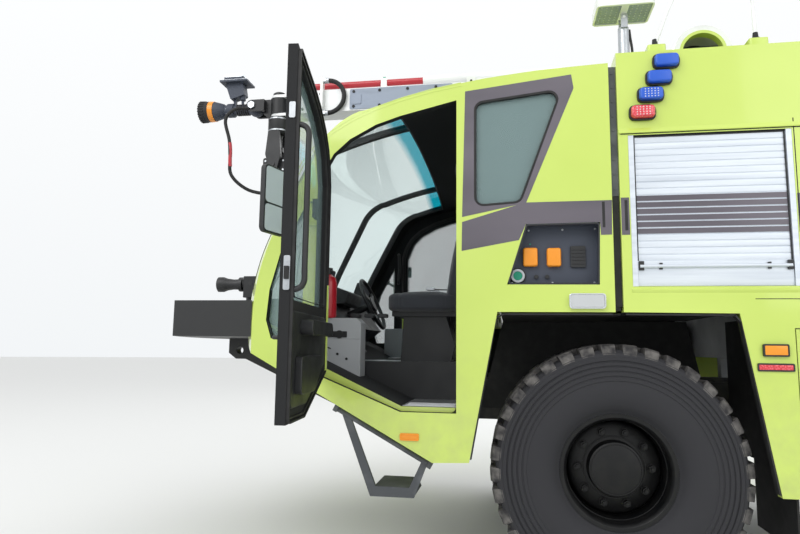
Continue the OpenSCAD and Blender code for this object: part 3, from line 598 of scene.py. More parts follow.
def plate(bm, outer, holes, start, end):
    """A flat plate across Y with holes: outlines in X and Z, between two Y planes."""
    edges = []
    for loop in [outer] + list(holes):
        spots = [bm.verts.new((x, start, z)) for x, z in loop]
        edges += [bm.edges.new((spots[i], spots[(i + 1) % len(spots)])) for i in range(len(spots))]
    filled = bmesh.ops.triangle_fill(bm, use_beauty=True, use_dissolve=False, edges=edges)
    faces = [g for g in filled["geom"] if isinstance(g, bmesh.types.BMFace)]
    raised = bmesh.ops.extrude_face_region(bm, geom=faces)["geom"]
    bmesh.ops.translate(bm, vec=(0, end - start, 0),
                        verts=[g for g in raised if isinstance(g, bmesh.types.BMVert)])


def tube(bm, path, radius, sides=12, smooth=6):
    """A round tube along a path of points, rounded through them as a curve."""
    points = [Vector(p) for p in path]
    line = []
    for i in range(len(points) - 1):
        before = points[max(i - 1, 0)]
        after = points[min(i + 2, len(points) - 1)]
        for j in range(smooth):
            t = j / smooth
            line.append(0.5 * (2 * points[i] + (points[i + 1] - before) * t
                               + (2 * before - 5 * points[i] + 4 * points[i + 1] - after) * t * t
                               + (3 * points[i] - before - 3 * points[i + 1] + after) * t ** 3))
    line.append(points[-1])
    side = (line[1] - line[0]).orthogonal().normalized()
    rings = []
    for i, spot in enumerate(line):
        ahead = (line[min(i + 1, len(line) - 1)] - line[max(i - 1, 0)]).normalized()
        side = (side - ahead * side.dot(ahead)).normalized()
        other = ahead.cross(side)
        rings.append([bm.verts.new(spot + radius * (math.cos(a) * side + math.sin(a) * other))
                      for a in (2 * math.pi * k / sides for k in range(sides))])
    skin(bm, rings)


def mirror_over(bm):
    """Draws the whole mesh again on the other side of the truck."""
    both = bmesh.ops.duplicate(bm, geom=bm.verts[:] + bm.edges[:] + bm.faces[:])["geom"]
    copies = [g for g in both if isinstance(g, bmesh.types.BMVert)]
    bmesh.ops.scale(bm, vec=(1, -1, 1), verts=copies)
    bmesh.ops.reverse_faces(bm, faces=[g for g in both if isinstance(g, bmesh.types.BMFace)])


def shade_smooth(bm, sharp):
    """Smooth faces, with hard edges where they meet at more than that many degrees."""
    for face in bm.faces:
        face.smooth = True
    for edge in bm.edges:
        edge.smooth = len(edge.link_faces) == 2 and edge.calc_face_angle(0.0) < math.radians(sharp)


def new_object(name, bm):
    """Puts a mesh into the scene as an object, and frees it."""
    mesh = bpy.data.meshes.new(name)
    bm.to_mesh(mesh)
    bm.free()
    made = bpy.data.objects.new(name, mesh)
    bpy.context.scene.collection.objects.link(made)
    return made


def make(name, bm, body, look, bevel=0.0, segments=2, sharp=32.0, replaces=()):
    """Turns a mesh into a finished piece that rides on its body."""
    bmesh.ops.recalc_face_normals(bm, faces=bm.faces[:])
    shade_smooth(bm, sharp)
    piece = new_object(name, bm)
    piece.data.materials.append(finish(look))
    if bevel:
        edges = piece.modifiers.new("edges", "BEVEL")
        edges.width = bevel
        edges.segments = segments
        edges.limit_method = "ANGLE"
        edges.angle_limit = math.radians(sharp)
        edges.harden_normals = True
    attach(piece, body)
    if replaces:
        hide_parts(*replaces)
    return piece


# Sizes read from the frame

tyre_low, tyre_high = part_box("tyre_1l")
TYRE_R = (tyre_high.z - tyre_low.z) / 2
TYRE_W = tyre_high.y - tyre_low.y
SIDE_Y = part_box("body")[0].y
SIDE = (0, SIDE_Y, 0)
REAR_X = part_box("body")[1].x
WHEELS = {"1l": "road_wheel_1l", "1r": "road_wheel_1r", "2l": "road_wheel_2l", "2r": "road_wheel_2r",
          "3l": "road_wheel_3l", "3r": "road_wheel_3r"}


# What a user would change

class TruckSizes(bpy.types.PropertyGroup):
    """Sizes of the dressed details."""

    lug_count: IntProperty(name="Lugs", description="Shoulder lugs round each side of a tyre", default=36,
                           min=24, max=48)
    groove_depth: FloatProperty(name="Tread Depth", description="Depth of the tread's grooves",
                                default=0.024, min=0.01, max=0.04, unit="LENGTH")
    slat_pitch: FloatProperty(name="Slat Pitch", description="Height of one slat of a roller shutter",
                              default=0.037, min=0.025, max=0.06, unit="LENGTH")
    stripe_skin: FloatProperty(name="Stripe Film", description="Thickness of the stripe film",
                               default=0.0006, min=0.0002, max=0.002, unit="LENGTH")


class StageColours(bpy.types.PropertyGroup):
    """Colours of the studio."""

    floor: FloatVectorProperty(name="Floor", description="Colour of the studio floor", subtype="COLOR",
                               size=3, default=linear(FLOOR_PALE)[:3], min=0, max=1)


# Tyres and wheels

def tyre_profile(radius, width, ribs):
    """Half section of the tyre's body from bead to crown, with fine ribs round the upper sidewall."""
    rim = 0.297
    span = radius - rim
    points = [(0.0, 0.36), (0.02, 0.375), (0.05, 0.38), (0.075, 0.40), (0.10, 0.425), (0.16, 0.455),
              (0.24, 0.48), (0.33, 0.493), (0.42, 0.498)]
    first, pitch, depth = 0.475, 0.069, 0.006
    for i in range(ribs):
        low = first + i * pitch
        bulge = 0.499 - 0.05 * (i / ribs) ** 2
        points += [(low, bulge - depth), (low + 0.012, bulge - depth), (low + 0.02, bulge),
                   (low + pitch - 0.008, bulge)]
    points += [(0.83, 0.455), (0.87, 0.45), (0.915, 0.40), (0.93, 0.2), (0.935, 0.0)]
    return [(rim + r * span, w * width) for r, w in points]


def swept_block(bm, matrix, section, angle0, angle1, steps=3):
    """A block with a (radius, across) section, bent round the axle between two angles."""
    rings = []
    for i in range(steps + 1):
        a = angle0 + (angle1 - angle0) * i / steps
        rings.append([bm.verts.new(matrix @ Vector((r * math.cos(a), r * math.sin(a), w))) for r,
                      w in section])
    skin(bm, rings)


def build_tyre(key, sizes):
    """One tyre: ribbed body and a tread of shoulder lugs and zigzag centre blocks."""
    low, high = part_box("tyre_" + key)
    axle = at((low + high) / 2)
    radius, width = TYRE_R, TYRE_W * 0.995
    half = tyre_profile(radius, width, 5)
    bm = bmesh.new()
    turned(bm, half + [(r, -w) for r, w in half[-2::-1]], axle, steps=144, closed=False)
    make("tyre_body_" + key, bm, WHEELS[key], "tyre_rubber", sharp=22, replaces=("tyre_" + key,))
    bm = bmesh.new()
    base = radius - sizes.groove_depth - 0.03
    shoulder = [(base, 0.16), (radius * 0.999, 0.165), (radius, 0.36), (radius - 0.012, 0.415),
                (radius - 0.055, 0.452), (radius - 0.085, 0.455), (radius - 0.09, 0.40)]
    centre = [(base, 0.015), (radius * 0.998, 0.02), (radius * 0.999, 0.145), (base, 0.15)]
    pitch = 2 * math.pi / sizes.lug_count
    for side in (1, -1):
        for i in range(sizes.lug_count):
            start = (i + (0.5 if side < 0 else 0.0)) * pitch
            swept_block(bm, axle, [(r, side * w * width) for r, w in shoulder], start, start + 0.66 * pitch)
            swept_block(bm, axle, [(r, side * w * width) for r, w in centre], start + 0.3 * pitch,
                        start + 1.1 * pitch)
    make("tyre_tread_" + key, bm, WHEELS[key], "scuffed_rubber", bevel=0.004, segments=2)


WHEEL_SECTION = [(0.0, 0.152), (0.132, 0.152), (0.146, 0.146), (0.150, 0.134), (0.150, 0.064),
                 (0.165, 0.060), (0.232, 0.060), (0.250, 0.050), (0.270, 0.012), (0.272, 0.020),
                 (0.272, 0.195), (0.278, 0.212), (0.290, 0.224), (0.311, 0.226), (0.311, 0.213),
                 (0.2966, 0.210), (0.2966, -0.210), (0.311, -0.213), (0.311, -0.226), (0.275, -0.222),
                 (0.272, -0.010), (0.240, 0.030), (0.160, 0.036), (0.120, 0.030), (0.116, -0.080),
                 (0.080, -0.082), (0.0, -0.082)]


def ring_of_bars(bm, count, ring, low, high, radius, sides, turn=0.0, end_ring=None):
    """Like bars in a ring about Z, leaning if the ring's radius differs at their ends."""
    for i in range(count):
        a = 2 * math.pi * (i + turn) / count
        far = ring if end_ring is None else end_ring
        bar(bm, (ring * math.cos(a), ring * math.sin(a), low), (far * math.cos(a), far * math.sin(a), high),
            radius, sides)


def wheel_place(key):
    """The middle of a wheel, with Z turned outward."""
    low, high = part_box("tyre_" + key)
    return at((low + high) / 2, "X", 90 if key.endswith("l") else -90)


def build_wheel(key):
    """Rim, dished disc and hub cap, with ten nuts."""
    bm = bmesh.new()
    turned(bm, WHEEL_SECTION, Matrix(), 72, closed=False)
    bmesh.ops.remove_doubles(bm, verts=bm.verts[:], dist=1e-5)
    ring_of_bars(bm, 10, 0.203, 0.059, 0.093, 0.020, 6)
    bm.transform(wheel_place(key))
    make("wheel_form_" + key, bm, WHEELS[key], "wheel_enamel", bevel=0.0015, replaces=("wheel_" + key,))


def build_wheel_fittings(key):
    """Washers and studs of the wheel nuts, the bolts of hub and rim, and the rolled rings between them."""
    bm = bmesh.new()
    ring_of_bars(bm, 10, 0.203, 0.0605, 0.0665, 0.025, 24)
    ring_of_bars(bm, 10, 0.203, 0.0905, 0.1065, 0.010, 12)
    ring_of_bars(bm, 12, 0.122, 0.1385, 0.1465, 0.008, 6, 0.5)
    ring_of_bars(bm, 24, 0.283, 0.102, 0.110, 0.007, 6, 0.5)
    for radius, level, thick in ((0.136, 0.151, 0.003), (0.170, 0.059, 0.004), (0.2705, 0.130, 0.003)):
        turned(bm, rectangle(radius - thick, level, radius + thick, level + 0.004), Matrix(), 72)
    bm.transform(wheel_place(key))
    make("wheel_nuts_" + key, bm, WHEELS[key], "wheel_enamel", bevel=0.0015)


class TRUCK_OT_tyres(bpy.types.Operator):
    """Six ribbed tyres with their tread, and the nuts on their wheels"""

    bl_idname = "truck.tyres"
    bl_label = "Tyres and Wheels"

    def execute(self, context):
        for key in WHEELS:
            build_tyre(key, context.scene.truck_sizes)
            build_wheel(key)
            build_wheel_fittings(key)
        return {"FINISHED"}


# Paint and stripes

DOOR_STAND = math.radians(85)
SOLID_FINISH = {
    "cab_enamel": ("cab",),
    "body_enamel": ("body",),
    "left_door_enamel": ("door_l",),
    "right_door_enamel": ("door_r",),
    "lime_enamel": ("side_lockers", "turntable", "lower_boom"),
    "chassis_enamel": ("frame", "crossmembers", "springs", "front_axle", "rear_axles", "knuckle_l",
                       "knuckle_r", "boom_head", "turret_base"),
    "wheel_enamel": tuple("wheel_" + key for key in WHEELS),
    "screen_glass": ("windscreen",),
    "tinted_glass": ("side_glass", "door_glass_l", "door_glass_r"),
    "black_moulding": ("dash", "steering_wheel", "bumper", "mirrors", "engine_grilles", "boom_nozzle",
                       "turret_nozzle", "boom_rest"),
    "seat_cloth": ("seats",),
    "clear_lens": ("headlamps",),
    "step_enamel": ("step_l", "step_r", "lift_barrels"),
    "tread_plate": ("roof_deck",),
    "tank_moulding": ("tank",),
    "anodised_slats": ("roller_doors", "rear_ladder"),
    "cast_engine": ("engine",),
    "blue_lens": ("warning_lamps",),
    "amber_lens": ("marker_lamps",),
    "sheet_rubber": ("mudflaps",),
    "boom_enamel": ("upper_boom", "inner_boom", "mast_lamp"),
    "hard_chrome": ("lift_rods",),
    "bare_aluminium": ("mast_tube", "mast"),
}


class TRUCK_OT_finishes(bpy.types.Operator):
    """Gives every solid of the frame its real finish"""

    bl_idname = "truck.finishes"
    bl_label = "Solid Finishes"

    def execute(self, context):
        for name, nodes in SOLID_FINISH.items():
            for node in nodes:
                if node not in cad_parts:
                    raise RuntimeError("no solid named " + node)
                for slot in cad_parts[node].material_slots:
                    slot.material = finish(name)
        return {"FINISHED"}


# Roller bays: x0, z0, x1, z1 of the opening
BAYS = [(0.09, 1.69, 0.93, 2.54), (2.45, 1.69, 3.95, 2.54)]
STRIPE_CAB = [(-0.837, 2.067), (-0.48, 2.172), (-0.006, 2.173), (-0.011, 1.978), (-0.07, 1.977),
              (-0.073, 2.05), (-0.476, 2.047), (-0.516, 1.956), (-0.84, 1.898)]
WINDOW_BORDER = [(-0.819, 2.853), (-0.21, 2.919), (-0.198, 2.836), (-0.474, 2.169), (-0.837, 2.096)]
CREW_WINDOW = rounded([(-0.767, 2.785), (-0.256, 2.840), (-0.502, 2.170), (-0.768, 2.153)], 0.055)
# Film on the body's side: x0, x1
BODY_STRIPES = [(0.041, 0.085), (0.935, 2.445), (3.955, 7.39)]
# Dark joint lines between the body's panels: x0, z0, x1, z1
JOINTS = [(0.938, 1.60, 0.943, 2.60), (2.385, 0.63, 2.39, 1.66), (4.02, 0.63, 4.025, 3.0),
          (7.45, 1.2, 7.455, 3.0), (0.05, 2.546, 7.45, 2.551), (0.70, 1.62, 4.02, 1.624),
          (4.03, 1.64, 7.44, 1.644)]


class TRUCK_OT_stripes(bpy.types.Operator):
    """Dark film stripes along both sides and round the crew windows, and the joints between the panels"""

    bl_idname = "truck.stripes"
    bl_label = "Stripes and Joints"

    def execute(self, context):
        film = context.scene.truck_sizes.stripe_skin

        def stripes(bm):
            prism(bm, STRIPE_CAB, -film, 0)
            plate(bm, WINDOW_BORDER, [CREW_WINDOW], -film * 1.5, 0)
            for x0, x1 in BODY_STRIPES:
                prism(bm, rectangle(x0, 1.975, x1, 2.185), -film, 0)

        def panel_joints(bm):
            for x0, z0, x1, z1 in JOINTS:
                box(bm, (x0, -film, z0), (x1, 0, z1))
        on_sides(stripes, "stripe_film")
        on_sides(panel_joints, "sheet_rubber")
        return {"FINISHED"}


# Windows and doors

DOOR_HINGE = Vector((-1.698, -1.539, 0))
# Depth of the door, from its skin to its inner face
DOOR_DEEP = 0.05
DOOR_WINDOW = rounded([(-0.925, 1.56), (-0.925, 2.735), (-1.20, 2.66), (-1.34, 2.612), (-1.49, 2.53),
                       (-1.575, 2.44), (-1.64, 2.28), (-1.64, 1.56)], 0.03, 2)
DOOR_EDGE = rounded([(-0.878, 0.993), (-0.878, 2.79), (-1.21, 2.715), (-1.355, 2.668), (-1.51, 2.584),
                     (-1.604, 2.50), (-1.664, 2.40), (-1.692, 2.30), (-1.692, 1.198), (-1.19, 0.993)], 0.03,
                    3)
QUARTER_WINDOW = rounded([(-1.78, 2.19), (-1.78, 1.39), (-1.97, 1.39), (-2.005, 1.50), (-1.99, 1.68),
                          (-1.93, 1.90)], 0.025, 2)


def hang_on_doors(build, look, **options):
    """Builds a piece on the closed driver's door, with y from its skin, and hangs it on both doors as they
    stand."""
    swing = (Matrix.Translation(DOOR_HINGE) @ Matrix.Rotation(-DOOR_STAND, 4, "Z")
             @ Matrix.Translation(-DOOR_HINGE))
    for side, body in (("l", "driver_door"), ("r", "passenger_door")):
        bm = bmesh.new()
        build(bm)
        bmesh.ops.translate(bm, vec=SIDE, verts=bm.verts)
        if side == "l":
            bmesh.ops.transform(bm, matrix=swing, verts=bm.verts)
        else:
            bmesh.ops.scale(bm, vec=(1, -1, 1), verts=bm.verts)
            bmesh.ops.reverse_faces(bm, faces=bm.faces)
        make(build.__name__ + "_" + side, bm, body, look, **options)


def window_gaskets(bm):
    """Gaskets of the crew window and of the quarter window."""
    plate(bm, inset(CREW_WINDOW, -0.001), [inset(CREW_WINDOW, 0.013)], -0.001, 0.021)
    plate(bm, inset(QUARTER_WINDOW, -0.012), [inset(QUARTER_WINDOW, 0.012)], -0.002, 0.021)


def door_seal(bm):
    """Twin rubber lips round the inner edge of the door and a gasket round its glass."""
    for by, lip in ((0.004, 0.016), (0.022, 0.01)):
        outer = inset(DOOR_EDGE, by)
        plate(bm, outer, [inset(outer, 0.009)], DOOR_DEEP - 0.004, DOOR_DEEP + lip)
    plate(bm, inset(DOOR_WINDOW, -0.014), [inset(DOOR_WINDOW, 0.012)], DOOR_DEEP - 0.002, DOOR_DEEP + 0.007)
    plate(bm, inset(DOOR_WINDOW, -0.010), [inset(DOOR_WINDOW, 0.012)], -0.003, 0.006)


def door_trim(bm):
    """Moulded inner trim with an armrest, a pull and a map pocket."""
    prism(bm, rounded([(-0.915, 1.06), (-0.915, 1.51), (-1.655, 1.51), (-1.655, 1.25), (-1.23, 1.06)], 0.04),
          DOOR_DEEP - 0.03, DOOR_DEEP + 0.010)
    prism(bm, rounded(rectangle(-1.56, 1.40, -1.05, 1.475), 0.035), DOOR_DEEP + 0.008, DOOR_DEEP + 0.075)
    prism(bm, rounded([(-0.98, 1.12), (-0.98, 1.30), (-1.45, 1.30), (-1.40, 1.21), (-1.26, 1.12)], 0.03),
          DOOR_DEEP + 0.008, DOOR_DEEP + 0.045)


def door_handles(bm):
    """Outer pull handle with its rose, and the grab rail beside the glass."""
    tube(bm, [(-0.99, -0.004, 1.385), (-0.99, -0.045, 1.385), (-1.02, -0.052, 1.385),
              (-1.13, -0.052, 1.385), (-1.16, -0.045, 1.385), (-1.16, -0.004, 1.385)], 0.010)
    prism(bm, rounded(rectangle(-1.19, 1.345, -0.96, 1.425), 0.02), -0.006, 0)
    tube(bm, [(-0.90, DOOR_DEEP, 1.60), (-0.90, DOOR_DEEP + 0.055, 1.63), (-0.90, DOOR_DEEP + 0.06, 1.75),
              (-0.90, DOOR_DEEP + 0.06, 2.25), (-0.90, DOOR_DEEP + 0.055, 2.37), (-0.90, DOOR_DEEP, 2.40)],
         0.014)


def door_strip(bm):
    """Painted edge of the door's inner skin beside its hinges."""
    outline = [(-1.690, 1.22), (-1.672, 1.21), (-1.672, 1.70), (-1.690, 1.70)]
    prism(bm, outline, DOOR_DEEP - 0.002, DOOR_DEEP + 0.0178)


def door_latch(bm):
    """Latch case in the rear edge with its striker jaws and screws."""
    prism(bm, rounded(rectangle(0.017, 1.60, 0.048, 1.76), 0.008), -0.881, -0.8725, "X")
    for z in (1.625, 1.735):
        bar(bm, (-0.8725, 0.032, z), (-0.870, 0.032, z), 0.006, 12)
    prism(bm, rounded(rectangle(0.017, 2.42, 0.048, 2.50), 0.008), -0.881, -0.8725, "X")


def latch_jaws(bm):
    """The latch's fork and its pin on the door's edge."""
    box(bm, (-0.8725, 0.022, 1.65), (-0.860, 0.044, 1.71))
    bar(bm, (-0.866, 0.033, 1.655), (-0.866, 0.033, 1.705), 0.007, 12)


class TRUCK_OT_windows(bpy.types.Operator):
    """Rubber gaskets of the windows, and the seals, trim, handles and latches of the doors"""

    bl_idname = "truck.windows"
    bl_label = "Windows and Doors"

    def execute(self, context):
        on_sides(window_gaskets, "sheet_rubber", bevel=0.002)
        hang_on_doors(door_strip, "lime_enamel")
        hang_on_doors(door_seal, "sheet_rubber", bevel=0.002)
        hang_on_doors(door_trim, "black_moulding", bevel=0.006, segments=3)
        hang_on_doors(door_handles, "black_moulding")
        hang_on_doors(door_latch, "bare_aluminium", bevel=0.001)
        hang_on_doors(latch_jaws, "sheet_rubber", bevel=0.002)
        return {"FINISHED"}


# Lamps and the service panel

# Warning lamps at the body's corner, from the lowest: x, z, finish
BEACONS = [(0.170, 2.665, "red_lens"), (0.217, 2.767, "blue_lens"), (0.265, 2.864, "blue_lens"),
           (0.306, 2.959, "blue_lens")]


def lozenge(x, z, wide, high, radius):
    """A rounded rectangle about a middle."""
    return rounded(rectangle(x - wide / 2, z - high / 2, x + wide / 2, z + high / 2), radius, 8)


def dome(bm, outline, base, top, edge=0.010, rings=4):
    """A lens on an outline in X and Z: straight sides, then a rounded brow up to its face."""
    loops = [(0.0, base), (0.0, base + (top - base) * 0.55)]
    for k in range(1, rings + 1):
        a = math.pi / 2 * k / rings
        loops.append((edge * (1 - math.cos(a)), base + (top - base) * (0.55 + 0.45 * math.sin(a))))
    skin(bm, [[bm.verts.new((x, y, z)) for x, z in (inset(outline, by) if by else outline)] for by,
              y in loops])


def one_piece(build, look, body="chassis", name="", both=False, origin=(0, 0, 0), **options):
    """Makes the piece that a function builds about an origin, under the function's name; both draws it again
    on the other side of the truck."""
    bm = bmesh.new()
    build(bm)
    bmesh.ops.translate(bm, vec=origin, verts=bm.verts)
    if both:
        mirror_over(bm)
    return make(name or build.__name__, bm, body, look, **options)


def both_sides(build, look, **options):
    """The same piece, drawn on both sides of the truck."""
    return one_piece(build, look, both=True, **options)


def on_sides(build, look, **options):
    """The same for a piece whose y runs from the side's skin."""
    return both_sides(build, look, origin=SIDE, **options)


def beacon_lenses(lens):
    """The domed lenses of one colour."""
    def build(bm):
        for x, z, name in BEACONS:
            if name == lens:
                dome(bm, lozenge(x, z, 0.127, 0.070, 0.020), -0.014, -0.047)
    return build


def beacon_bases(bm):
    """Dark trays behind the warning lamps' lenses."""
    for x, z, _ in BEACONS:
        prism(bm, lozenge(x, z, 0.143, 0.086, 0.026), -0.016, 0)


def beacon_rims(bm):
    """Raised frames of the warning lamps, with their screws."""
    for x, z, _ in BEACONS:
        outer = lozenge(x, z, 0.145, 0.090, 0.041)
        plate(bm, outer, [inset(outer, 0.009)], -0.019, 0)
        prism(bm, inset(outer, 0.006), -0.013, 0)
        for end in (-0.066, 0.066):
            peg(bm, x + end, z, -0.018, -0.0215, 0.0045, 12)


def beacon_optics(bm):
    """Rows of bright emitters behind the lens, just over its face."""
    for x, z, _ in BEACONS[:2]:
        for column in range(5):
            for row in range(4):
                spot = (x - 0.034 + 0.017 * column, -0.0468, z - 0.021 + 0.014 * row)
                bar(bm, spot, (spot[0], -0.0475, spot[2]), 0.0036, 12)


# Lamps on the sides: outline, base finish, lens finish, how far they stand out
MARKERS = [(rectangle(0.718, 1.322, 0.843, 1.387), "black_moulding", "amber_lens", 0.018),
           (rectangle(-1.185, 0.830, -1.077, 0.870), "amber_lens", "amber_lens", 0.012),
           (rectangle(-0.250, 1.567, -0.055, 1.652), "hard_chrome", "clear_lens", 0.022),
           (rectangle(0.689, 1.246, 0.867, 1.288), "black_moulding", "red_lens", 0.008)]
TAIL_LAMPS = [(1.25, "clear_lens"), (1.39, "amber_lens"), (1.53, "red_lens")]

PANEL = rounded([(-0.476, 2.047), (-0.073, 2.050), (-0.083, 1.701), (-0.585, 1.704)], 0.018, 3)
PANEL_DEEP = 0.088


def service_tray(bm):
    """Slate face and walls of the recess."""
    prism(bm, inset(PANEL, 0.001), -0.003, 0.001)
    plate(bm, inset(PANEL, 0.0005), [inset(PANEL, 0.003)], -0.087, 0)


def service_black(bm):
    """The recess's frame, its louvred vent and the black sockets."""
    plate(bm, inset(PANEL, -0.010), [inset(PANEL, 0.003)], -0.0895, -0.082)
    prism(bm, lozenge(-0.1875, 1.868, 0.083, 0.122, 0.006), -0.016, -0.002)
    for k in range(5):
        z = 1.828 + 0.02 * k
        box(bm, (-0.222, -0.020, z - 0.003), (-0.153, -0.015, z + 0.003))
    peg(bm, -0.524, 1.76, -0.002, -0.012, 0.046, 40)
    peg(bm, -0.42, 1.755, -0.002, -0.016, 0.012, 20)
    peg(bm, -0.36, 1.755, -0.002, -0.016, 0.012, 20)


def service_metal(bm):
    """Chrome ring of the coupling, and the panel's screws."""
    ring = rectangle(0.026, 0.0, 0.039, 0.014)
    spot = at((-0.524, -0.010, 1.76))
    turned(bm, ring, spot, 40)
    for x, z in ((-0.46, 2.025), (-0.27, 2.026), (-0.09, 2.028), (-0.10, 1.72), (-0.33, 1.72),
                 (-0.555, 1.722)):
        peg(bm, x, z, -0.002, -0.006, 0.006, 16)


def service_amber(bm):
    """The two amber covers in the recess."""
    for x0, z0, x1, z1 in ((-0.494, 1.813, -0.411, 1.922), (-0.361, 1.811, -0.281, 1.919)):
        dome(bm, rounded(rectangle(x0, z0, x1, z1), 0.014), -0.002, -0.034)


def service_green(bm):
    """Green cap of the coupling, and the small green lamp."""
    peg(bm, -0.524, 1.76, -0.010, -0.021, 0.0255, 40)
    peg(bm, -0.452, 1.945, -0.002, -0.006, 0.004, 12)


def tail_place(z):
    """Where a tail lamp of that height sits, facing back."""
    return at((REAR_X, -1.35, z), "Y")


def tail_rims(bm):
    """Round frames of the tail lamps."""
    for z, _ in TAIL_LAMPS:
        turned(bm, [(0.046, 0.0), (0.055, 0.0), (0.055, 0.015), (0.051, 0.020), (0.046, 0.020)],
               tail_place(z), 48)


class TRUCK_OT_lamps(bpy.types.Operator):
    """Warning lamps, marker lamps, tail lamps and the service panel's fittings"""

    bl_idname = "truck.lamps"
    bl_label = "Lamps and Service Panel"

    def execute(self, context):
        on_sides(beacon_rims, "black_moulding", bevel=0.001, replaces=("warning_lamps",))
        on_sides(beacon_bases, "black_moulding", bevel=0.002)
        for lens in ("blue_lens", "red_lens"):
            on_sides(beacon_lenses(lens), lens, name="beacons_" + lens)
        on_sides(beacon_optics, "clear_lens")
        for index, (outline, rim, lens, high) in enumerate(MARKERS):
            corner = 0.018 if rim == "hard_chrome" else 0.008

            def rim_piece(bm):
                plate(bm, rounded(outline, corner), [rounded(inset(outline, 0.008), corner * 0.6)], -high, 0)

            def lens_piece(bm):
                dome(bm, rounded(inset(outline, 0.007), corner * 0.6), 0, 0.001 - high, 0.003)
            on_sides(rim_piece, rim, name="marker_rim_%d" % index, bevel=0.002,
                     replaces=() if index else ("marker_lamps",))
            on_sides(lens_piece, lens, name="marker_lens_%d" % index)
        both_sides(tail_rims, "black_moulding")
        for z, lens in TAIL_LAMPS:
            def tail_lens(bm):
                turned(bm, [(0.0, 0.0), (0.0465, 0.0), (0.0465, 0.012), (0.040, 0.018), (0.020, 0.021),
                            (0.0, 0.0215)], tail_place(z), 48, closed=False)
            both_sides(tail_lens, lens, name="tail_lens_%d" % round(z * 100), sharp=60)
        for build, look, bevel in (
                (service_tray, "slate_panel", 0.0), (service_black, "black_moulding", 0.001),
                (service_metal, "bare_aluminium", 0.001), (service_amber, "amber_lens", 0.0),
                (service_green, "green_plastic", 0.001)):
            one_piece(build, look, origin=(0, SIDE_Y + PANEL_DEEP, 0), bevel=bevel)
        return {"FINISHED"}


# Roller shutters and lockers

LOCKERS = [(0.88, 0.70, 2.33, 1.47), (2.45, 0.70, 3.95, 1.47)]
CURTAIN_DEEP = 0.0215
# Height of the bottom rail under the first slat
RAIL_HIGH = 0.139


def shutter_slats(bm):
    """The curtain: interlocking slats, the bottom rail, the guides and the lifting bar."""
    pitch = bpy.context.scene.truck_sizes.slat_pitch
    back = 0.0125
    for x0, z0, x1, z1 in BAYS:
        line = []
        low = z0 + RAIL_HIGH
        while low + pitch < z1 - 0.003:
            line += [(-0.001, low), (-0.001, low + 0.002), (-0.004, low + 0.004), (-0.005, low + 0.012),
                     (-0.005, low + 0.028), (-0.004, low + 0.035)]
            low += pitch
        line += [(0, z1 - 0.003), (back, z1 - 0.003), (back, z0 + RAIL_HIGH)]
        prism(bm, line, x0 + 0.028, x1 - 0.028, "X")
        prism(bm, [(back, z0 + 0.003), (-0.008, z0 + 0.003), (-0.012, z0 + 0.040), (-0.012, z0 + 0.140),
                   (0, z0 + 0.145), (back, z0 + 0.145)], x0 + 0.031, x1 - 0.031, "X")
        for x in (x0, x1 - 0.030):
            box(bm, (x + 0.001, -0.0205, z0 + 0.001), (x + 0.029, back, z1 - 0.001))
        bar(bm, (x0 + 0.040, -0.020, z0 + 0.110), (x1 - 0.040, -0.020, z0 + 0.110), 0.010, 16)


def shutter_stripes(bm):
    """Dark film on six slats of each shutter."""
    for x0, z0, x1, _ in BAYS:
        for i in range(4, 10):
            low = z0 + RAIL_HIGH + bpy.context.scene.truck_sizes.slat_pitch * i
            box(bm, (x0 + 0.031, -0.0056, low + 0.005), (x1 - 0.031, -0.0035, low + 0.034))


def shutter_blacks(bm):
    """Lip seals beside the slats, and the end blocks and caps of the lifting bar; the black strip along the
    top of the opening is a painted shadow under the fascia's overhang.
    """
    for x0, z0, x1, z1 in BAYS:
        for x, side in ((x0 + 0.031, 1), (x1 - 0.031, -1)):
            box(bm, (x, -0.011, z0 + 0.14), (x + side * 0.006, -0.001, z1 - 0.004))
            box(bm, (x + side * 0.004, -0.026, z0 + 0.088), (x + side * 0.030, 0, z0 + 0.138))
            box(bm, (x + side * 0.110, -0.024, z0 + 0.092), (x + side * 0.126, 0, z0 + 0.128))
        box(bm, (x0 + 0.031, -0.006, z0 + 0.002), (x1 - 0.031, -0.001, z0 + 0.030))
        # painted shadow: a black strip for the shade under the fascia's overhang at the top of the opening
        box(bm, (x0 + 0.002, -0.0085, z1 - 0.010), (x1 - 0.002, 0, z1 - 0.001))


def locker_handles(bm):
    """Flush paddle latches, two to a door, and its hinge rail."""
    for x0, z0, x1, z1 in LOCKERS:
        for x in (x0 + 0.22, x1 - 0.22):
            outer = lozenge(x, z0 + 0.12, 0.15, 0.10, 0.014)
            plate(bm, outer, [inset(outer, 0.012)], -0.004, 0.004)
            prism(bm, lozenge(x, z0 + 0.112, 0.11, 0.055, 0.008), -0.002, 0.004)
        tube(bm, [(x0 + 0.03, -0.001, z1 - 0.012), (x1 - 0.03, -0.001, z1 - 0.012)], 0.006)


class TRUCK_OT_shutters(bpy.types.Operator):
    """Stripes and fittings of the roller shutters, and the lockers' latches"""

    bl_idname = "truck.shutters"
    bl_label = "Shutters and Lockers"

    def execute(self, context):
        curtain = (0, SIDE_Y + CURTAIN_DEEP, 0)
        both_sides(shutter_slats, "anodised_slats", origin=curtain, sharp=20, replaces=("roller_doors",))
        both_sides(shutter_stripes, "stripe_film", origin=curtain)
        both_sides(shutter_blacks, "black_moulding", origin=curtain, bevel=0.0015)
        on_sides(locker_handles, "bare_aluminium", bevel=0.001)
        return {"FINISHED"}


# Cab

FLOOR_Z = 1.25
SEAT_Y = (-0.72, 0.0, 0.72)
BACK_LEAN = Matrix.Translation((-0.985, 0, 1.72)) @ Matrix.Rotation(math.radians(10.8), 4, "Y")


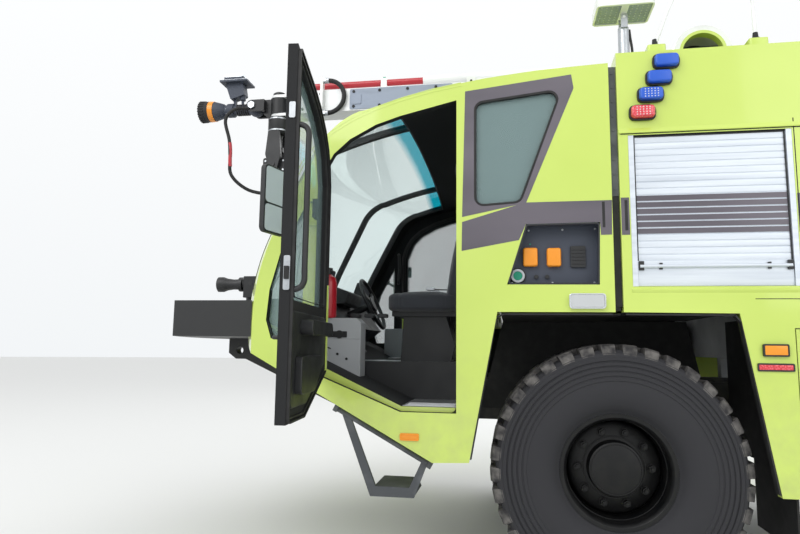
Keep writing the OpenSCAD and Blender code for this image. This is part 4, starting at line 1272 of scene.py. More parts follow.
def seat_cushions(bm):
    """Seat, backrest and headrest of each of the three seats, crowned and sewn."""
    upright = Matrix.Rotation(math.radians(-90), 4, "Y")
    for y in SEAT_Y:
        pillow(bm, (-1.39, y - 0.24, 1.585), (-0.90, y + 0.24, 1.712), 0.022, (0.62,))
        pillow(bm, (-0.07, y - 0.235, 0.0), (0.54, y + 0.235, 0.095), 0.020, (0.6,),
               BACK_LEAN @ Matrix.Translation((0.095, 0, 0)) @ upright)
        pillow(bm, (0.60, y - 0.12, 0.005), (0.765, y + 0.12, 0.085), 0.012, (),
               BACK_LEAN @ Matrix.Translation((0.095, 0, 0)) @ upright)


def seat_frames(bm):
    """Pedestals, shells, slides and headrest posts."""
    for y in SEAT_Y:
        prism(bm, [(-1.30, FLOOR_Z), (-0.96, FLOOR_Z), (-0.93, 1.36), (-1.0, 1.585), (-1.28, 1.585)],
              y - 0.15, y + 0.15)
        box(bm, (-1.36, y - 0.17, 1.555), (-0.92, y - 0.145, 1.59))
        box(bm, (-1.36, y + 0.145, 1.555), (-0.92, y + 0.17, 1.59))
        for side in (-0.055, 0.055):
            foot, top = (BACK_LEAN @ Vector((0.05, y + side, z)) for z in (0.50, 0.64))
            bar(bm, foot, top, 0.007, 12)
        for side in (-0.235, 0.235):
            tube(bm, [(-0.88, y + side, 1.60), (-0.875, y + side, 1.70), (-0.90, y + side, 1.735)], 0.012)


def seat_belts(bm):
    """Lap straps lying over the cushions, and their stalks."""
    for y in SEAT_Y:
        strap = [(-0.91, 1.60), (-0.915, 1.70), (-0.97, 1.735), (-1.08, 1.738)]
        for side in (-1, 1):
            loop = strap + [(x, z + 0.004) for x, z in strap[::-1]]
            prism(bm, loop, y + side * 0.13 - 0.022, y + side * 0.13 + 0.022)


def buckles(bm):
    """Buckle and tongue of each seat belt."""
    for y in SEAT_Y:
        prism(bm, rounded(rectangle(-1.13, 1.734, -1.07, 1.758), 0.008), y + 0.105, y + 0.155)
        prism(bm, rounded(rectangle(-1.13, 1.734, -1.07, 1.752), 0.008), y - 0.155, y - 0.105)


def cab_blacks(bm):
    """Grab handles at the door posts, the binnacle and the screens on the dash, and the driver's fittings."""
    tube(bm, [(-0.855, -1.455, 2.52), (-0.86, -1.385, 2.50), (-0.875, -1.375, 2.42), (-0.86, -1.385, 2.33),
              (-0.855, -1.455, 2.31)], 0.014)
    tube(bm, [(-1.735, -1.455, 2.33), (-1.72, -1.395, 2.31), (-1.715, -1.39, 2.18), (-1.72, -1.395, 2.04),
              (-1.735, -1.455, 2.02)], 0.014)
    tube(bm, [(-0.86, -1.02, 1.30), (-0.87, -1.05, 1.45), (-0.90, -1.05, 1.60), (-0.86, -1.02, 1.72)], 0.013)
    prism(bm, rounded([(-2.02, 1.70), (-1.93, 1.70), (-1.88, 1.92), (-1.94, 1.93)], 0.012), -0.78, -0.46)
    mirror_over(bm)
    prism(bm, rounded([(-2.00, 1.68), (-1.86, 1.69), (-1.83, 1.78), (-1.96, 1.83)], 0.015), -0.24, 0.24)
    bar(bm, (-1.74, -1.13, 1.812), (-1.74, -1.13, 1.86), 0.018, 16)
    box(bm, (-1.785, -1.14, 1.845), (-1.715, -1.12, 1.858))
    box(bm, (-1.795, -1.165, 1.69), (-1.735, -1.095, 1.705))
    for x in (-1.56, -1.47, -1.38):
        prism(bm, rounded(rectangle(x - 0.03, 1.535, x + 0.03, 1.56), 0.008), -1.12, -1.06)


def dash_screens(bm):
    """Dark display glass, tilted to the crew."""
    prism(bm, [(-1.9285, 1.715), (-1.9255, 1.715), (-1.8805, 1.905), (-1.8835, 1.905)], -0.76, -0.48)


def console(bm):
    """Grey moulded side console on the sill beside the step well."""
    prism(bm, rounded([(-1.79, 1.27), (-1.79, 1.53), (-1.54, 1.53), (-1.51, 1.50), (-1.51, 1.135)], 0.02),
          -1.16, -1.02)
    prism(bm, rectangle(-1.785, 1.395, -1.515, 1.403), -1.163, -1.10)


def console_blacks(bm):
    """Shelf with its fitting, a hook slot and bolts in the console, and the lining of the step well."""
    prism(bm, rounded(rectangle(-1.765, 1.405, -1.60, 1.445), 0.006), -1.1625, -1.1585)
    peg(bm, -1.65, 1.425, -1.158, -1.168, 0.026, 20)
    bar(bm, (-1.65, -1.135, 1.44), (-1.65, -1.135, 1.50), 0.014, 16)
    prism(bm, [(-1.745, 1.345), (-1.705, 1.33), (-1.705, 1.337), (-1.738, 1.349), (-1.738, 1.37),
               (-1.745, 1.37)], -1.1625, -1.1585)
    for x, z in ((-1.66, 1.30), (-1.60, 1.27)):
        peg(bm, x, z, -1.158, -1.165, 0.009, 6)
    box(bm, (-1.60, -0.979, 1.013), (-0.862, -0.9695, 1.256))
    box(bm, (-0.868, -1.4745, 1.013), (-0.8602, -0.972, 1.40))


def extinguisher(bm):
    """Body of the fire extinguisher beside the driver's door."""
    spot = Matrix.Translation((-1.74, -1.13, 1.53))
    turned(bm, [(0.0, 0.0), (0.046, 0.0), (0.055, 0.012), (0.055, 0.225), (0.046, 0.262), (0.020, 0.284),
                (0.0, 0.286)], spot, 40, closed=False)


def sill_treads(bm):
    """Tread plate on the floor of a step well, with its ribs, and on the cab's floor beside it."""
    box(bm, (-1.185, -1.456, 1.0125), (-0.872, -0.982, 1.017))
    for k in range(6):
        box(bm, (-1.170, -1.440 + 0.03 * k, 1.016), (-0.885, -1.430 + 0.03 * k, 1.0195))
    box(bm, (-1.65, -0.965, FLOOR_Z + 0.0005), (-0.90, -0.50, FLOOR_Z + 0.004))


class TRUCK_OT_cab(bpy.types.Operator):
    """Seats, handles, consoles and fittings inside the cab"""

    bl_idname = "truck.cab"
    bl_label = "Cab Fittings"

    def execute(self, context):
        cushions = one_piece(seat_cushions, "seat_cloth", sharp=60, replaces=("seats",))
        one_piece(seat_frames, "black_moulding", bevel=0.004)
        one_piece(seat_belts, "sheet_rubber")
        one_piece(buckles, "bare_aluminium", bevel=0.002)
        one_piece(cab_blacks, "black_moulding", bevel=0.003)
        both_sides(dash_screens, "slate_panel")
        both_sides(console, "grey_moulding", bevel=0.006, segments=3)
        both_sides(console_blacks, "black_moulding", bevel=0.001)
        one_piece(extinguisher, "red_enamel", sharp=50)
        both_sides(sill_treads, "tread_plate", bevel=0.001)
        return {"FINISHED"}


# Outside of the cab, the wheel housings and the roof

MIRROR_PANES = ((1.961, 2.106), (2.116, 2.314))


def on_mirror(bm, outline, near, far):
    """An outline across the mirror between two depths behind its face, which is turned outward."""
    turn = (Matrix.Translation((-1.842, -1.875, 0)) @ Matrix.Rotation(math.radians(-14), 4, "Z"))
    verts = prism(bm, outline, -far, -near, "X")
    bmesh.ops.transform(bm, matrix=turn, verts=verts)


def mirror_housings(bm):
    """Moulded housings and the arms that carry them."""
    on_mirror(bm, rounded(rectangle(-0.108, 1.951, 0.108, 2.324), 0.030, 8), -0.012, 0.018)
    for z in (2.03, 2.25):
        bar(bm, (-1.855, -1.83, z), (-1.8735, SIDE_Y, z + 0.016), 0.014, 20)
        peg(bm, -1.8735, z + 0.016, SIDE_Y - 0.006, SIDE_Y, 0.032, 24)


def mirror_panes(bm):
    """The large pane and the wide-angle one under it."""
    for z0, z1 in MIRROR_PANES:
        on_mirror(bm, rounded(rectangle(-0.098, z0, 0.098, z1), 0.022), -0.0132, -0.0122)


AERIAL_X, AERIAL_Y = (0.27, 0.808), -1.453
# Centre of the nose's curve, and the windscreen's top edge, half width and foot
NOSE_CX = 0.607
SCREEN_TOP_X = -1.25
SCREEN_HALF = 1.39
SCREEN_LOW = 1.70


def cab_section(drawn_in, low=1.5):
    """The cab's section in radius and height, from its crown down to the nose, drawn in by a distance."""
    points = [(0.0, 2.98 - drawn_in)]
    for (r, z), radius, a0, a1, count in (((1.46, 0.08), 2.9, 90, 68, 12),
                                          ((2.425, 2.439), 0.357, 66, 25, 10),
                                          ((1.647, 1.50), 1.453, 22.5, 0, 12)):
        for k in range(count + 1):
            a = math.radians(a0 + (a1 - a0) * k / count)
            points.append((r + (radius - drawn_in) * math.cos(a), z + (radius - drawn_in) * math.sin(a)))
    return [p for p in points if p[1] >= low]


def screen_line(drawn_in, y):
    """The same section in X and Z at one side position, from the screen's top edge down to its foot."""
    fine = []
    line = cab_section(drawn_in)
    for (r0, z0), (r1, z1) in zip(line, line[1:]):
        fine += [(r0 + (r1 - r0) * k / 8, z0 + (z1 - z0) * k / 8) for k in range(8)]
    spots = [(NOSE_CX - math.sqrt(r * r - y * y), z) for r, z in fine if r > abs(y)]
    return [(x, z) for x, z in spots if x <= SCREEN_TOP_X and z >= SCREEN_LOW]


def screen_bars(bm):
    """Two glazing bars, the posts' gaskets and the one along the top edge."""
    for y, half in ((-0.87, 0.02), (0.87, 0.02), (-SCREEN_HALF + 0.007, 0.007), (SCREEN_HALF - 0.007, 0.007)):
        prism(bm, screen_line(0.0, y) + screen_line(0.05, y)[::-1], y - half, y + half)
    steps = [SCREEN_HALF * (k / 20 - 1) for k in range(41)]
    over = [(y, screen_line(-0.0, y)[0][1]) for y in steps]
    under = [(y, screen_line(0.05, y)[0][1]) for y in steps]
    prism(bm, over + under[::-1], SCREEN_TOP_X - 0.012, SCREEN_TOP_X - 0.001, "X")


def clipped(bm, planes):
    """Cuts a closed form with planes, throws away what lies outside, and closes the cuts."""
    for spot, outward in planes:
        bmesh.ops.bisect_plane(bm, geom=bm.verts[:] + bm.edges[:] + bm.faces[:], dist=1e-6, plane_co=spot,
                               plane_no=outward, clear_outer=True)
        bmesh.ops.holes_fill(bm, edges=[e for e in bm.edges if len(e.link_faces) == 1], sides=0)


def screen_pane(bm):
    """One curved sheet of laminated glass behind the glazing bars."""
    outer, inner = cab_section(0.021), cab_section(0.029)
    loop = outer[1:] + inner[:0:-1]
    matrix = Matrix.Translation((NOSE_CX, 0, 0))
    steps = 96
    rings = []
    for i in range(steps + 1):
        a = math.pi - math.radians(62) + math.radians(124) * i / steps
        rings.append([bm.verts.new(matrix @ Vector((r * math.cos(a), r * math.sin(a), z))) for r, z in loop])
    skin(bm, rings)
    clipped(bm, [((0, SCREEN_HALF - 0.004, 0), (0, 1, 0)), ((0, -SCREEN_HALF + 0.004, 0), (0, -1, 0)),
                 ((SCREEN_TOP_X - 0.003, 0, 0), (1, 0, 0)), ((0, 0, SCREEN_LOW + 0.002), (0, 0, -1))])


def cab_shell():
    """The cab's skin with the windscreen's opening carried up to the roof, as the real one's is."""
    shell = bmesh.new()
    shell.from_mesh(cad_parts["cab"].data)
    shell.transform(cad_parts["cab"].matrix_world)
    bmesh.ops.remove_doubles(shell, verts=shell.verts[:], dist=1e-5)
    piece = make("cab_shell", shell, "chassis", "cab_enamel", replaces=("cab",))
    opening = bmesh.new()
    box(opening, (-3.2, -SCREEN_HALF, 2.60), (SCREEN_TOP_X, SCREEN_HALF, 3.2))
    cutter = new_object("screen_cutter", opening)
    cut = piece.modifiers.new("screen", "BOOLEAN")
    cut.operation = "DIFFERENCE"
    cut.solver = "EXACT"
    cut.object = cutter
    bpy.context.view_layer.update()
    made = bpy.data.meshes.new_from_object(piece.evaluated_get(bpy.context.evaluated_depsgraph_get()))
    piece.modifiers.remove(cut)
    piece.data = made
    bpy.data.objects.remove(cutter)
    shell = bmesh.new()
    shell.from_mesh(made)
    shade_smooth(shell, 32)
    shell.to_mesh(made)
    shell.free()


def aerial_pads(bm):
    """Raised pads under the two aerials."""
    for x in AERIAL_X:
        prism(bm, rounded(rectangle(x - 0.05, AERIAL_Y - 0.05, x + 0.05, AERIAL_Y + 0.05), 0.012), 3.0295,
              3.0805, "Z")


def aerial_rods(bm):
    """The aerials: a stout foot that leans over into a thin whip."""
    for x0, x1 in zip(AERIAL_X, (0.56, 0.79)):
        knee = (x0 + (x1 - x0) * 0.25, AERIAL_Y, 3.29)
        bar(bm, (x0, AERIAL_Y, 3.10), knee, 0.012, 16, 0.010)
        bar(bm, knee, (x1, AERIAL_Y, 3.76), 0.009, 16, 0.006)


def arch_liners(bm):
    """Moulded housings behind the wheels: a wall inboard of the tyre and a ceiling over it."""
    prism(bm, [(-0.62, 1.545), (-0.78, 0.93), (-0.40, 0.93), (-0.36, 1.02), (0.36, 1.02), (0.40, 0.93),
               (0.75, 0.93), (0.62, 1.545)], -0.492, -0.486)
    box(bm, (-0.62, -1.468, 1.538), (0.03, -0.486, 1.544))
    box(bm, (0.10, -1.46, 1.55), (0.62, -0.486, 1.556))
    prism(bm, [(4.09, 0.93), (7.36, 0.93), (7.22, 1.59), (4.23, 1.59)], -0.862, -0.856)
    for x in (4.075, 7.365):
        box(bm, (x - 0.003, -1.46, 0.75), (x + 0.003, -0.86, 1.56))
    box(bm, (0.848, -1.46, 0.72), (0.854, -0.56, 1.54))
    box(bm, (-0.03, -1.49, 1.56), (0.03, -1.40, 1.60))


def arch_lips(bm):
    """Rubber lips round the wheel openings."""
    for path in ([(-0.795, 0.74), (-0.65, 1.525), (-0.60, 1.543), (-0.02, 1.543)],
                 [(0.05, 1.543), (0.60, 1.540), (0.632, 1.50), (0.768, 0.63)],
                 [(4.085, 0.63), (4.22, 1.50), (4.26, 1.545), (7.19, 1.545), (7.23, 1.51), (7.37, 0.91)]):
        for start, end in zip(path, path[1:]):
            run = Vector((end[0] - start[0], end[1] - start[1])).normalized()
            off = Vector((run.y, -run.x)) * 0.008
            prism(bm, [start, end, (end[0] + off.x, end[1] + off.y), (start[0] + off.x, start[1] + off.y)],
                  0.002, 0.045)


def step_lugs(bm):
    """Black hinge blocks of the folding step under the sloping sill."""
    sill = Matrix.Translation((-1.003, 0, 0.714)) @ Matrix.Rotation(math.atan(0.54), 4, "Y")
    verts = []
    for x0, x1 in ((-0.0195, 0.0055), (-0.6455, -0.6205)):
        verts += box(bm, (x0, -1.4865, -0.0455), (x1, -1.4435, -0.0005))
    bmesh.ops.transform(bm, matrix=sill, verts=verts)


def marker_gaskets(bm):
    """Black gaskets under the side lamps."""
    for outline, _, _, high in MARKERS:
        prism(bm, rounded(inset(outline, -0.005), high + 0.004), -0.004, -0.0002)


def rear_grille(bm):
    """Louvred outlet of the engine bay in the rear panel, with its frame."""
    outline = rectangle(-0.45, 1.50, 1.15, 2.35)
    frame_bars = [(-0.45, 1.50, 1.15, 1.54), (-0.45, 2.31, 1.15, 2.35), (-0.45, 1.54, -0.41, 2.31),
                  (1.11, 1.54, 1.15, 2.31), (0.335, 1.54, 0.365, 2.31)]
    for y0, z0, y1, z1 in frame_bars:
        box(bm, (REAR_X, y0, z0), (REAR_X + 0.014, y1, z1))
    prism(bm, inset(outline, 0.03), REAR_X, REAR_X + 0.002, "X")
    for k in range(15):
        z = 1.55 + 0.05 * k
        prism(bm, [(REAR_X + 0.002, z), (REAR_X + 0.011, z - 0.004), (REAR_X + 0.012, z + 0.002),
                   (REAR_X + 0.003, z + 0.034)], -0.415, 1.115)


def gap_bellows(bm):
    """Black seal between the cab and the body, and the slots below the stripe and beside the shutter."""
    box(bm, (-0.004, -1.497, 1.58), (0.037, -1.485, 2.20))
    box(bm, (-0.06, SIDE_Y - 0.0008, 2.02), (-0.045, SIDE_Y, 2.165))
    box(bm, (0.060, SIDE_Y - 0.0008, 2.0), (0.076, SIDE_Y, 2.17))


def gap_bracket(bm):
    """Grey riveted strip that closes the upper part of the gap."""
    box(bm, (-0.004, -1.500, 2.20), (0.037, -1.488, 2.96))
    for i in range(9):
        spot = (0.016, -1.500, 2.24 + 0.085 * i)
        bar(bm, spot, (spot[0], -1.504, spot[2]), 0.006, 12)


def fascia_lip(bm):
    """Drip rail along the fascia's lower edge, over the shutters, and the panel's rolled top edge."""
    prism(bm, [(0, 2.552), (-0.009, 2.551), (-0.01, 2.556), (0, 2.580)], 0.042, 7.44, "X")
    prism(bm, [(0, 1.680), (-0.006, 1.674), (-0.006, 1.668), (0, 1.655)], 0.085, 7.44, "X")


def roof_gutter(bm):
    """Twin ribs of the cab's roof rail over the door."""
    line = [(-1.86, 2.32), (-1.80, 2.44), (-1.72, 2.545), (-1.62, 2.635), (-1.50, 2.705), (-1.36, 2.765),
            (-1.20, 2.815), (-1.02, 2.858), (-0.84, 2.888)]
    for up in (0.0, 0.018):
        for (x0, z0), (x1, z1) in zip(line, line[1:]):
            run = Vector((x1 - x0, z1 - z0)).normalized()
            a, b = Vector((-run.y, run.x)) * up, Vector((-run.y, run.x)) * (up + 0.005)
            prism(bm, [(x0 + a.x, z0 + a.y), (x1 + a.x, z1 + a.y), (x1 + b.x, z1 + b.y),
                       (x0 + b.x, z0 + b.y)], -0.0015, 0)


def on_nose(y, z, out=0.0):
    """A spot on the cab's nose at that side and height."""
    section = [(3.100, 1.50), (3.07, 1.80), (2.99, 2.06), (2.76, 2.575), (2.66, 2.72), (2.53, 2.80)]
    for (r0, z0), (r1, z1) in zip(section, section[1:]):
        if z0 <= z <= z1:
            radius = r0 + (r1 - r0) * (z - z0) / (z1 - z0) + out
            return (NOSE_CX - math.sqrt(radius ** 2 - y * y), y, z)
    return (NOSE_CX - math.sqrt((3.1 + out) ** 2 - y * y), y, z)


def wipers(bm):
    """Long wiper arm parked across the windscreen's foot, with its blade."""
    arm = [on_nose(-0.62 + 0.14 * k, 1.62 + 0.20 * k, 0.035 + 0.004 * k) for k in range(1, 5)]
    bar(bm, on_nose(-0.62, 1.62, 0.01), on_nose(-0.62, 1.62, 0.05), 0.025, 20)
    tube(bm, [on_nose(-0.62, 1.62, 0.04)] + arm, 0.009)
    tube(bm, [on_nose(-0.35 + 0.14 * k, 1.74 + 0.20 * k, 0.022) for k in range(5)], 0.007)


def nose_panels(bm):
    """Black mesh bars across the nose over the bumper."""
    for z in (1.66, 1.675, 1.69):
        for y0 in range(-9, 9):
            a, b = on_nose(y0 * 0.1, z, 0.0005), on_nose((y0 + 1) * 0.1, z, 0.0005)
            bar(bm, a, b, 0.003, 6)


def hinge_covers(bm):
    """Rubber boots at the door hinges."""
    for z in (1.35, 2.15):
        for end in (-0.088, 0.088):
            bar(bm, (-1.698, -1.539, z + end - 0.004), (-1.698, -1.539, z + end + 0.004), 0.010, 12)


def roof_fittings(bm):
    """Hatch handles and hinges on the roof deck."""
    for x in (2.1, 3.7, 5.3, 6.9):
        handle = ((0.28, 2.9195), (0.28, 2.955), (0.31, 2.962), (0.39, 2.962), (0.42, 2.955), (0.42, 2.9195))
        tube(bm, [(x + along, -0.62, z) for along, z in handle], 0.009)
        for k in (0.12, 0.52):
            bar(bm, (x + k, -1.155, 2.92), (x + k + 0.07, -1.155, 2.92), 0.012, 16)


def cowl_shell(bm):
    """Pale hood over the air cowl."""
    plate(bm, cowl_outline(-0.0015), [cowl_outline(0.0338)], -1.1015, -0.7985)


def cowl_outline(by):
    """The roof cowl's upright section with its round top, drawn in by a distance."""
    middle, radius, top = 0.637, 0.170, 3.378
    return [(middle - radius + by, 2.862), (middle + radius - by, 2.862)] + [
        (middle + (radius - by) * math.cos(a), top - radius + (radius - by) * math.sin(a))
        for a in (math.pi * k / 24 for k in range(25))]


def cowl_arch(bm):
    """Lime lip round the cowl's mouth."""
    plate(bm, cowl_outline(0.030), [cowl_outline(0.050)], -1.1025, -1.045)


def cowl_slats(bm):
    """Back wall and slats inside the cowl; the black back wall is painted shade, a dark sheet for the shadow
    deep in the cowl's mouth.
    """
    # painted shade: a black wall standing in for the shadow inside the cowl's mouth
    prism(bm, cowl_outline(0.0345), -0.90, -0.862)
    for k in range(9):
        z = 2.905 + 0.042 * k
        prism(bm, [(-1.062, z), (-1.058, z), (-1.030, z + 0.03), (-1.034, z + 0.03)], 0.502, 0.772, "X")


class TRUCK_OT_outside(bpy.types.Operator):
    """Mirrors, wheel housings, seals, wipers and the roof's small fittings"""

    bl_idname = "truck.outside"
    bl_label = "Outside Fittings"

    def execute(self, context):
        cab_shell()
        one_piece(screen_pane, "screen_glass", replaces=("windscreen",))
        one_piece(screen_bars, "black_moulding")
        one_piece(aerial_pads, "lime_enamel", bevel=0.003)
        one_piece(aerial_rods, "boom_enamel")
        both_sides(mirror_housings, "black_moulding", bevel=0.006, segments=3, sharp=40,
                   replaces=("mirrors",))
        both_sides(mirror_panes, "mirror_glass")
        both_sides(arch_liners, "sheet_rubber")
        on_sides(arch_lips, "sheet_rubber")
        one_piece(rear_grille, "black_moulding")
        both_sides(step_lugs, "step_enamel")
        on_sides(marker_gaskets, "sheet_rubber")
        both_sides(gap_bellows, "sheet_rubber")
        both_sides(gap_bracket, "step_enamel", bevel=0.001)
        on_sides(roof_gutter, "lime_enamel")
        on_sides(fascia_lip, "lime_enamel")
        both_sides(wipers, "black_moulding")
        one_piece(nose_panels, "sheet_rubber")
        both_sides(hinge_covers, "sheet_rubber")
        both_sides(roof_fittings, "bare_aluminium")
        one_piece(cowl_shell, "boom_enamel", bevel=0.001)
        one_piece(cowl_arch, "lime_enamel", bevel=0.001)
        one_piece(cowl_slats, "black_moulding")
        return {"FINISHED"}


# Boom, nozzles and mast

BOOM_Z = 3.445
HEAD_X = -2.57
PIPE_Z = 3.62
HOSE_Y = -0.128
TILT = (-2.79, 0.0, BOOM_Z)
TURRET = (-2.73, 0.0, 1.8703)
MAST = (0.16, -1.125, 3.44)
# Turns a profile's height to the front, or across the truck
FORWARD = at((0, 0, 0), "Y", -90)
ACROSS = at((0, 0, 0))


def pipe_sleeve(bm):
    """Red water pipe that slides with the inner boom."""
    bar(bm, (-2.455, 0, PIPE_Z), (2.60, 0, PIPE_Z), 0.028, 32)


def pipe_brackets(bm):
    """Feet of the pipe and the flange plate of the hose loop, on the inner boom."""
    for x0, x1 in ((-2.455, -2.39), (-1.645, -1.595)):
        prism(bm, [(-0.045, 3.540), (0.045, 3.540), (0.034, 3.652), (-0.034, 3.652)], x0, x1, "X")
    prism(bm, rounded(rectangle(-0.155, 3.295, -0.101, 3.645), 0.01), -2.150, -2.128, "X")


def pipe_duct(bm):
    """White duct on the outer boom that the pipe slides into, on its saddles."""
    ring = rectangle(0.029, -1.28, 0.038, 2.70)
    turned(bm, ring, at((0, 0, PIPE_Z), "Y"), 40)
    for x in (-0.86, 0.0, 1.25, 2.45):
        prism(bm, [(-0.05, 3.559), (0.05, 3.559), (0.036, 3.600), (-0.036, 3.600)], x, x + 0.08, "X")


def boom_collar(bm):
    """Collar round the mouth of the outer boom."""
    plate(bm, rectangle(-0.132, 3.324, 0.132, 3.572), [rectangle(-0.1195, 3.3305, 0.1195, 3.5595)], 0.0, 0.07)
    turn = Matrix(((0, 1, 0, -0.90), (1, 0, 0, 0), (0, 0, 1, 0), (0, 0, 0, 1)))
    bmesh.ops.transform(bm, matrix=turn, verts=bm.verts)


def pipe_clamps(bm):
    """Green clamps round the red pipe."""
    for x in (-1.62, -2.30):
        ring = rectangle(0.0283, -0.022, 0.036, 0.022)
        turned(bm, ring, at((x, 0, PIPE_Z), "Y"), 32)
        box(bm, (x - 0.012, -0.008, 3.652), (x + 0.012, 0.008, 3.672))


def boom_hoses(bm):
    """Hose loop beside the inner boom."""
    loop = [(-2.09 + 0.145 * math.sin(a), HOSE_Y, 3.47 + 0.145 * math.cos(a))
            for a in (math.pi * k / 12 for k in range(13))]
    tube(bm, loop, 0.0195, 16, 3)


def boom_glands(bm):
    """Glands at the two ends of the hose loop."""
    for z in (3.325, 3.615):
        bar(bm, (-2.130, HOSE_Y, z), (-2.105, HOSE_Y, z), 0.0260, 6)
        bar(bm, (-2.105, HOSE_Y, z), (-2.080, HOSE_Y, z), 0.0240, 24)


def boom_cheeks(bm):
    """Bolted wear plates on the inner boom's sides, ahead of the outer boom's mouth."""
    prism(bm, rounded(rectangle(-1.90, 3.356, -1.02, 3.536), 0.012), -0.1075, -0.1015)
    prism(bm, rounded(rectangle(-1.885, 3.40, -1.80, 3.49), 0.01), -0.113, -0.107)


def boom_bolts(bm):
    """Bolt heads on the inner boom's nose and cheeks, and on the outer boom's collar."""
    for xs, zs, y, size in (((-2.40, -2.32, -2.24, -2.16), (3.38, 3.51), (0.102, 0.110), 0.013),
                            ((-0.865,), (3.355, 3.40, 3.49, 3.535), (0.132, 0.1385), 0.010),
                            ((-1.865, -1.64, -1.40, -1.16), (3.380, 3.512), (0.107, 0.114), 0.013)):
        for x in xs:
            for z in zs:
                peg(bm, x, z, -y[0], -y[1], size, 6)


def head_collars(bm):
    """Bright clamp rings on the head's drums, the tool and the hose."""
    for r, z, high in ((0.0935, 3.32, 0.012), (0.0935, 3.215, 0.012), (0.0355, 3.05, 0.03),
                       (0.0255, 2.72, 0.03)):
        turned(bm, rectangle(r - 0.003, 0, r, high), Matrix.Translation((HEAD_X, 0, z)), 48)
    for y in (-0.117, 0.117):
        peg(bm, TILT[0], BOOM_Z, y, y * 1.012, 0.034, 6)


def head_drums(bm):
    """Swivel drum under the fork, its cap above, the tool's neck, block and foot."""
    turned(bm, [(0.031, 3.344), (0.086, 3.344), (0.092, 3.338), (0.092, 3.205), (0.080, 3.190),
                (0.042, 3.188), (0.034, 3.170), (0.034, 3.080), (0.050, 3.075), (0.050, 3.035),
                (0.034, 3.030), (0.034, 2.96), (0.031, 2.96)], Matrix.Translation((HEAD_X, 0, 0)), 48)
    turned(bm, [(0.0, 3.580), (0.045, 3.578), (0.058, 3.568), (0.060, 3.545), (0.0, 3.545)],
           Matrix.Translation((HEAD_X, 0, 0)), 48, closed=False)
    prism(bm, rounded(rectangle(-2.675, 2.835, -2.46, 2.97), 0.02), -0.070, 0.070)
    bar(bm, (HEAD_X, 0, 2.84), (HEAD_X, 0, 2.80), 0.045, 32, 0.028)
    bar(bm, (HEAD_X, 0, 2.80), (HEAD_X, 0, 2.645), 0.024, 24)
    for y in (-0.105, 0.105):
        cheek = [(-2.62, 3.20), (-2.52, 3.20), (-2.50, 2.99), (-2.53, 2.86), (-2.60, 2.86), (-2.64, 2.99)]
        prism(bm, rounded(cheek, 0.012), y - 0.012, y + 0.012)
        peg(bm, HEAD_X, 2.90, y - 0.02, y + 0.02, 0.02, 24)
        peg(bm, HEAD_X, 3.15, 0, y, 0.018, 24)
    bar(bm, (-2.845, -0.118, 3.417), (-2.815, -0.100, 3.425), 0.020, 6)


def head_hose(bm):
    """Hose from the nozzle's foot down to the tool."""
    tube(bm, [(-2.84, -0.118, 3.415), (-2.93, -0.160, 3.385), (-3.00, -0.160, 3.295),
              (-2.955, -0.160, 3.115), (-2.94, -0.160, 2.965), (-2.93, -0.140, 2.805),
              (-2.80, -0.060, 2.690), (-2.585, 0, 2.655)], 0.015, 14)


def nozzle_form(bm):
    """Nozzle with its ball, barrel, flange and bell, and the camera over it."""
    turned(bm, [(0.0, 0.02), (0.046, 0.02), (0.046, 0.198), (0.060, 0.202), (0.062, 0.208), (0.062, 0.258),
                (0.058, 0.264), (0.050, 0.268), (0.048, 0.285), (0.062, 0.30), (0.080, 0.36), (0.088, 0.40),
                (0.0905, 0.44), (0.088, 0.519), (0.076, 0.519), (0.070, 0.42), (0.030, 0.30), (0.0, 0.30)],
           FORWARD, 64, closed=False)
    turned(bm, [(0.0, -0.074), (0.040, -0.074), (0.056, -0.050), (0.064, -0.020), (0.064, 0.020),
                (0.056, 0.050), (0.040, 0.074), (0.0, 0.074)], ACROSS, 48, closed=False)
    peg(bm, 0, 0, -0.106, 0.106, 0.0239, 24)
    box(bm, (-0.212, -0.014, 0.030), (-0.188, 0.014, 0.240))
    box(bm, (-0.32, -0.09, 0.240), (-0.06, 0.09, 0.2565))
    prism(bm, rounded(rectangle(-0.299, 0.256, -0.121, 0.329), 0.014), -0.0445, 0.0445)
    prism(bm, rounded([(-0.285, 0.241), (-0.12, 0.241), (-0.10, 0.13), (-0.23, 0.09)], 0.012), -0.045, 0.045)
    bar(bm, (-0.13, 0, 0.05), (-0.13, 0, 0.17), 0.012, 16)
    bar(bm, (-0.13, 0, 0.09), (-0.13, 0, 0.14), 0.026, 24)
    bmesh.ops.remove_doubles(bm, verts=bm.verts[:], dist=1e-5)


def turret_form(bm):
    """Bumper nozzle: drum, barrel with a flange and a flared bell."""
    turned(bm, [(0.0, 0.02), (0.044, 0.02), (0.044, 0.10), (0.062, 0.104), (0.062, 0.135), (0.046, 0.140),
                (0.044, 0.19), (0.052, 0.25), (0.065, 0.285), (0.065, 0.329), (0.054, 0.329), (0.034, 0.25),
                (0.0, 0.25)], FORWARD, 56, closed=False)
    turned(bm, [(0.0, -0.074), (0.048, -0.074), (0.058, -0.062), (0.060, 0.0), (0.058, 0.062), (0.048, 0.074),
                (0.0, 0.074)], ACROSS, 48, closed=False)
    peg(bm, 0, 0, -0.107, 0.107, 0.0199, 24)
    for k in range(5):
        bar(bm, (-0.055 - 0.009 * k, 0, 0), (-0.059 - 0.009 * k, 0, 0), 0.0475, 40)
    bmesh.ops.remove_doubles(bm, verts=bm.verts[:], dist=1e-5)


def tool_bolts(bm):
    """Bolts round the piercing tool's block."""
    for x in (-2.65, -2.49):
        for z in (2.86, 2.94):
            peg(bm, x, z, -0.070, -0.078, 0.009, 6)


def head_hose_band(bm):
    """Red sleeve on the hanging hose."""
    tube(bm, [(-2.948, -0.160, 3.09), (-2.940, -0.160, 3.02), (-2.940, -0.159, 2.94), (-2.938, -0.155, 2.88)],
         0.0162, 14)


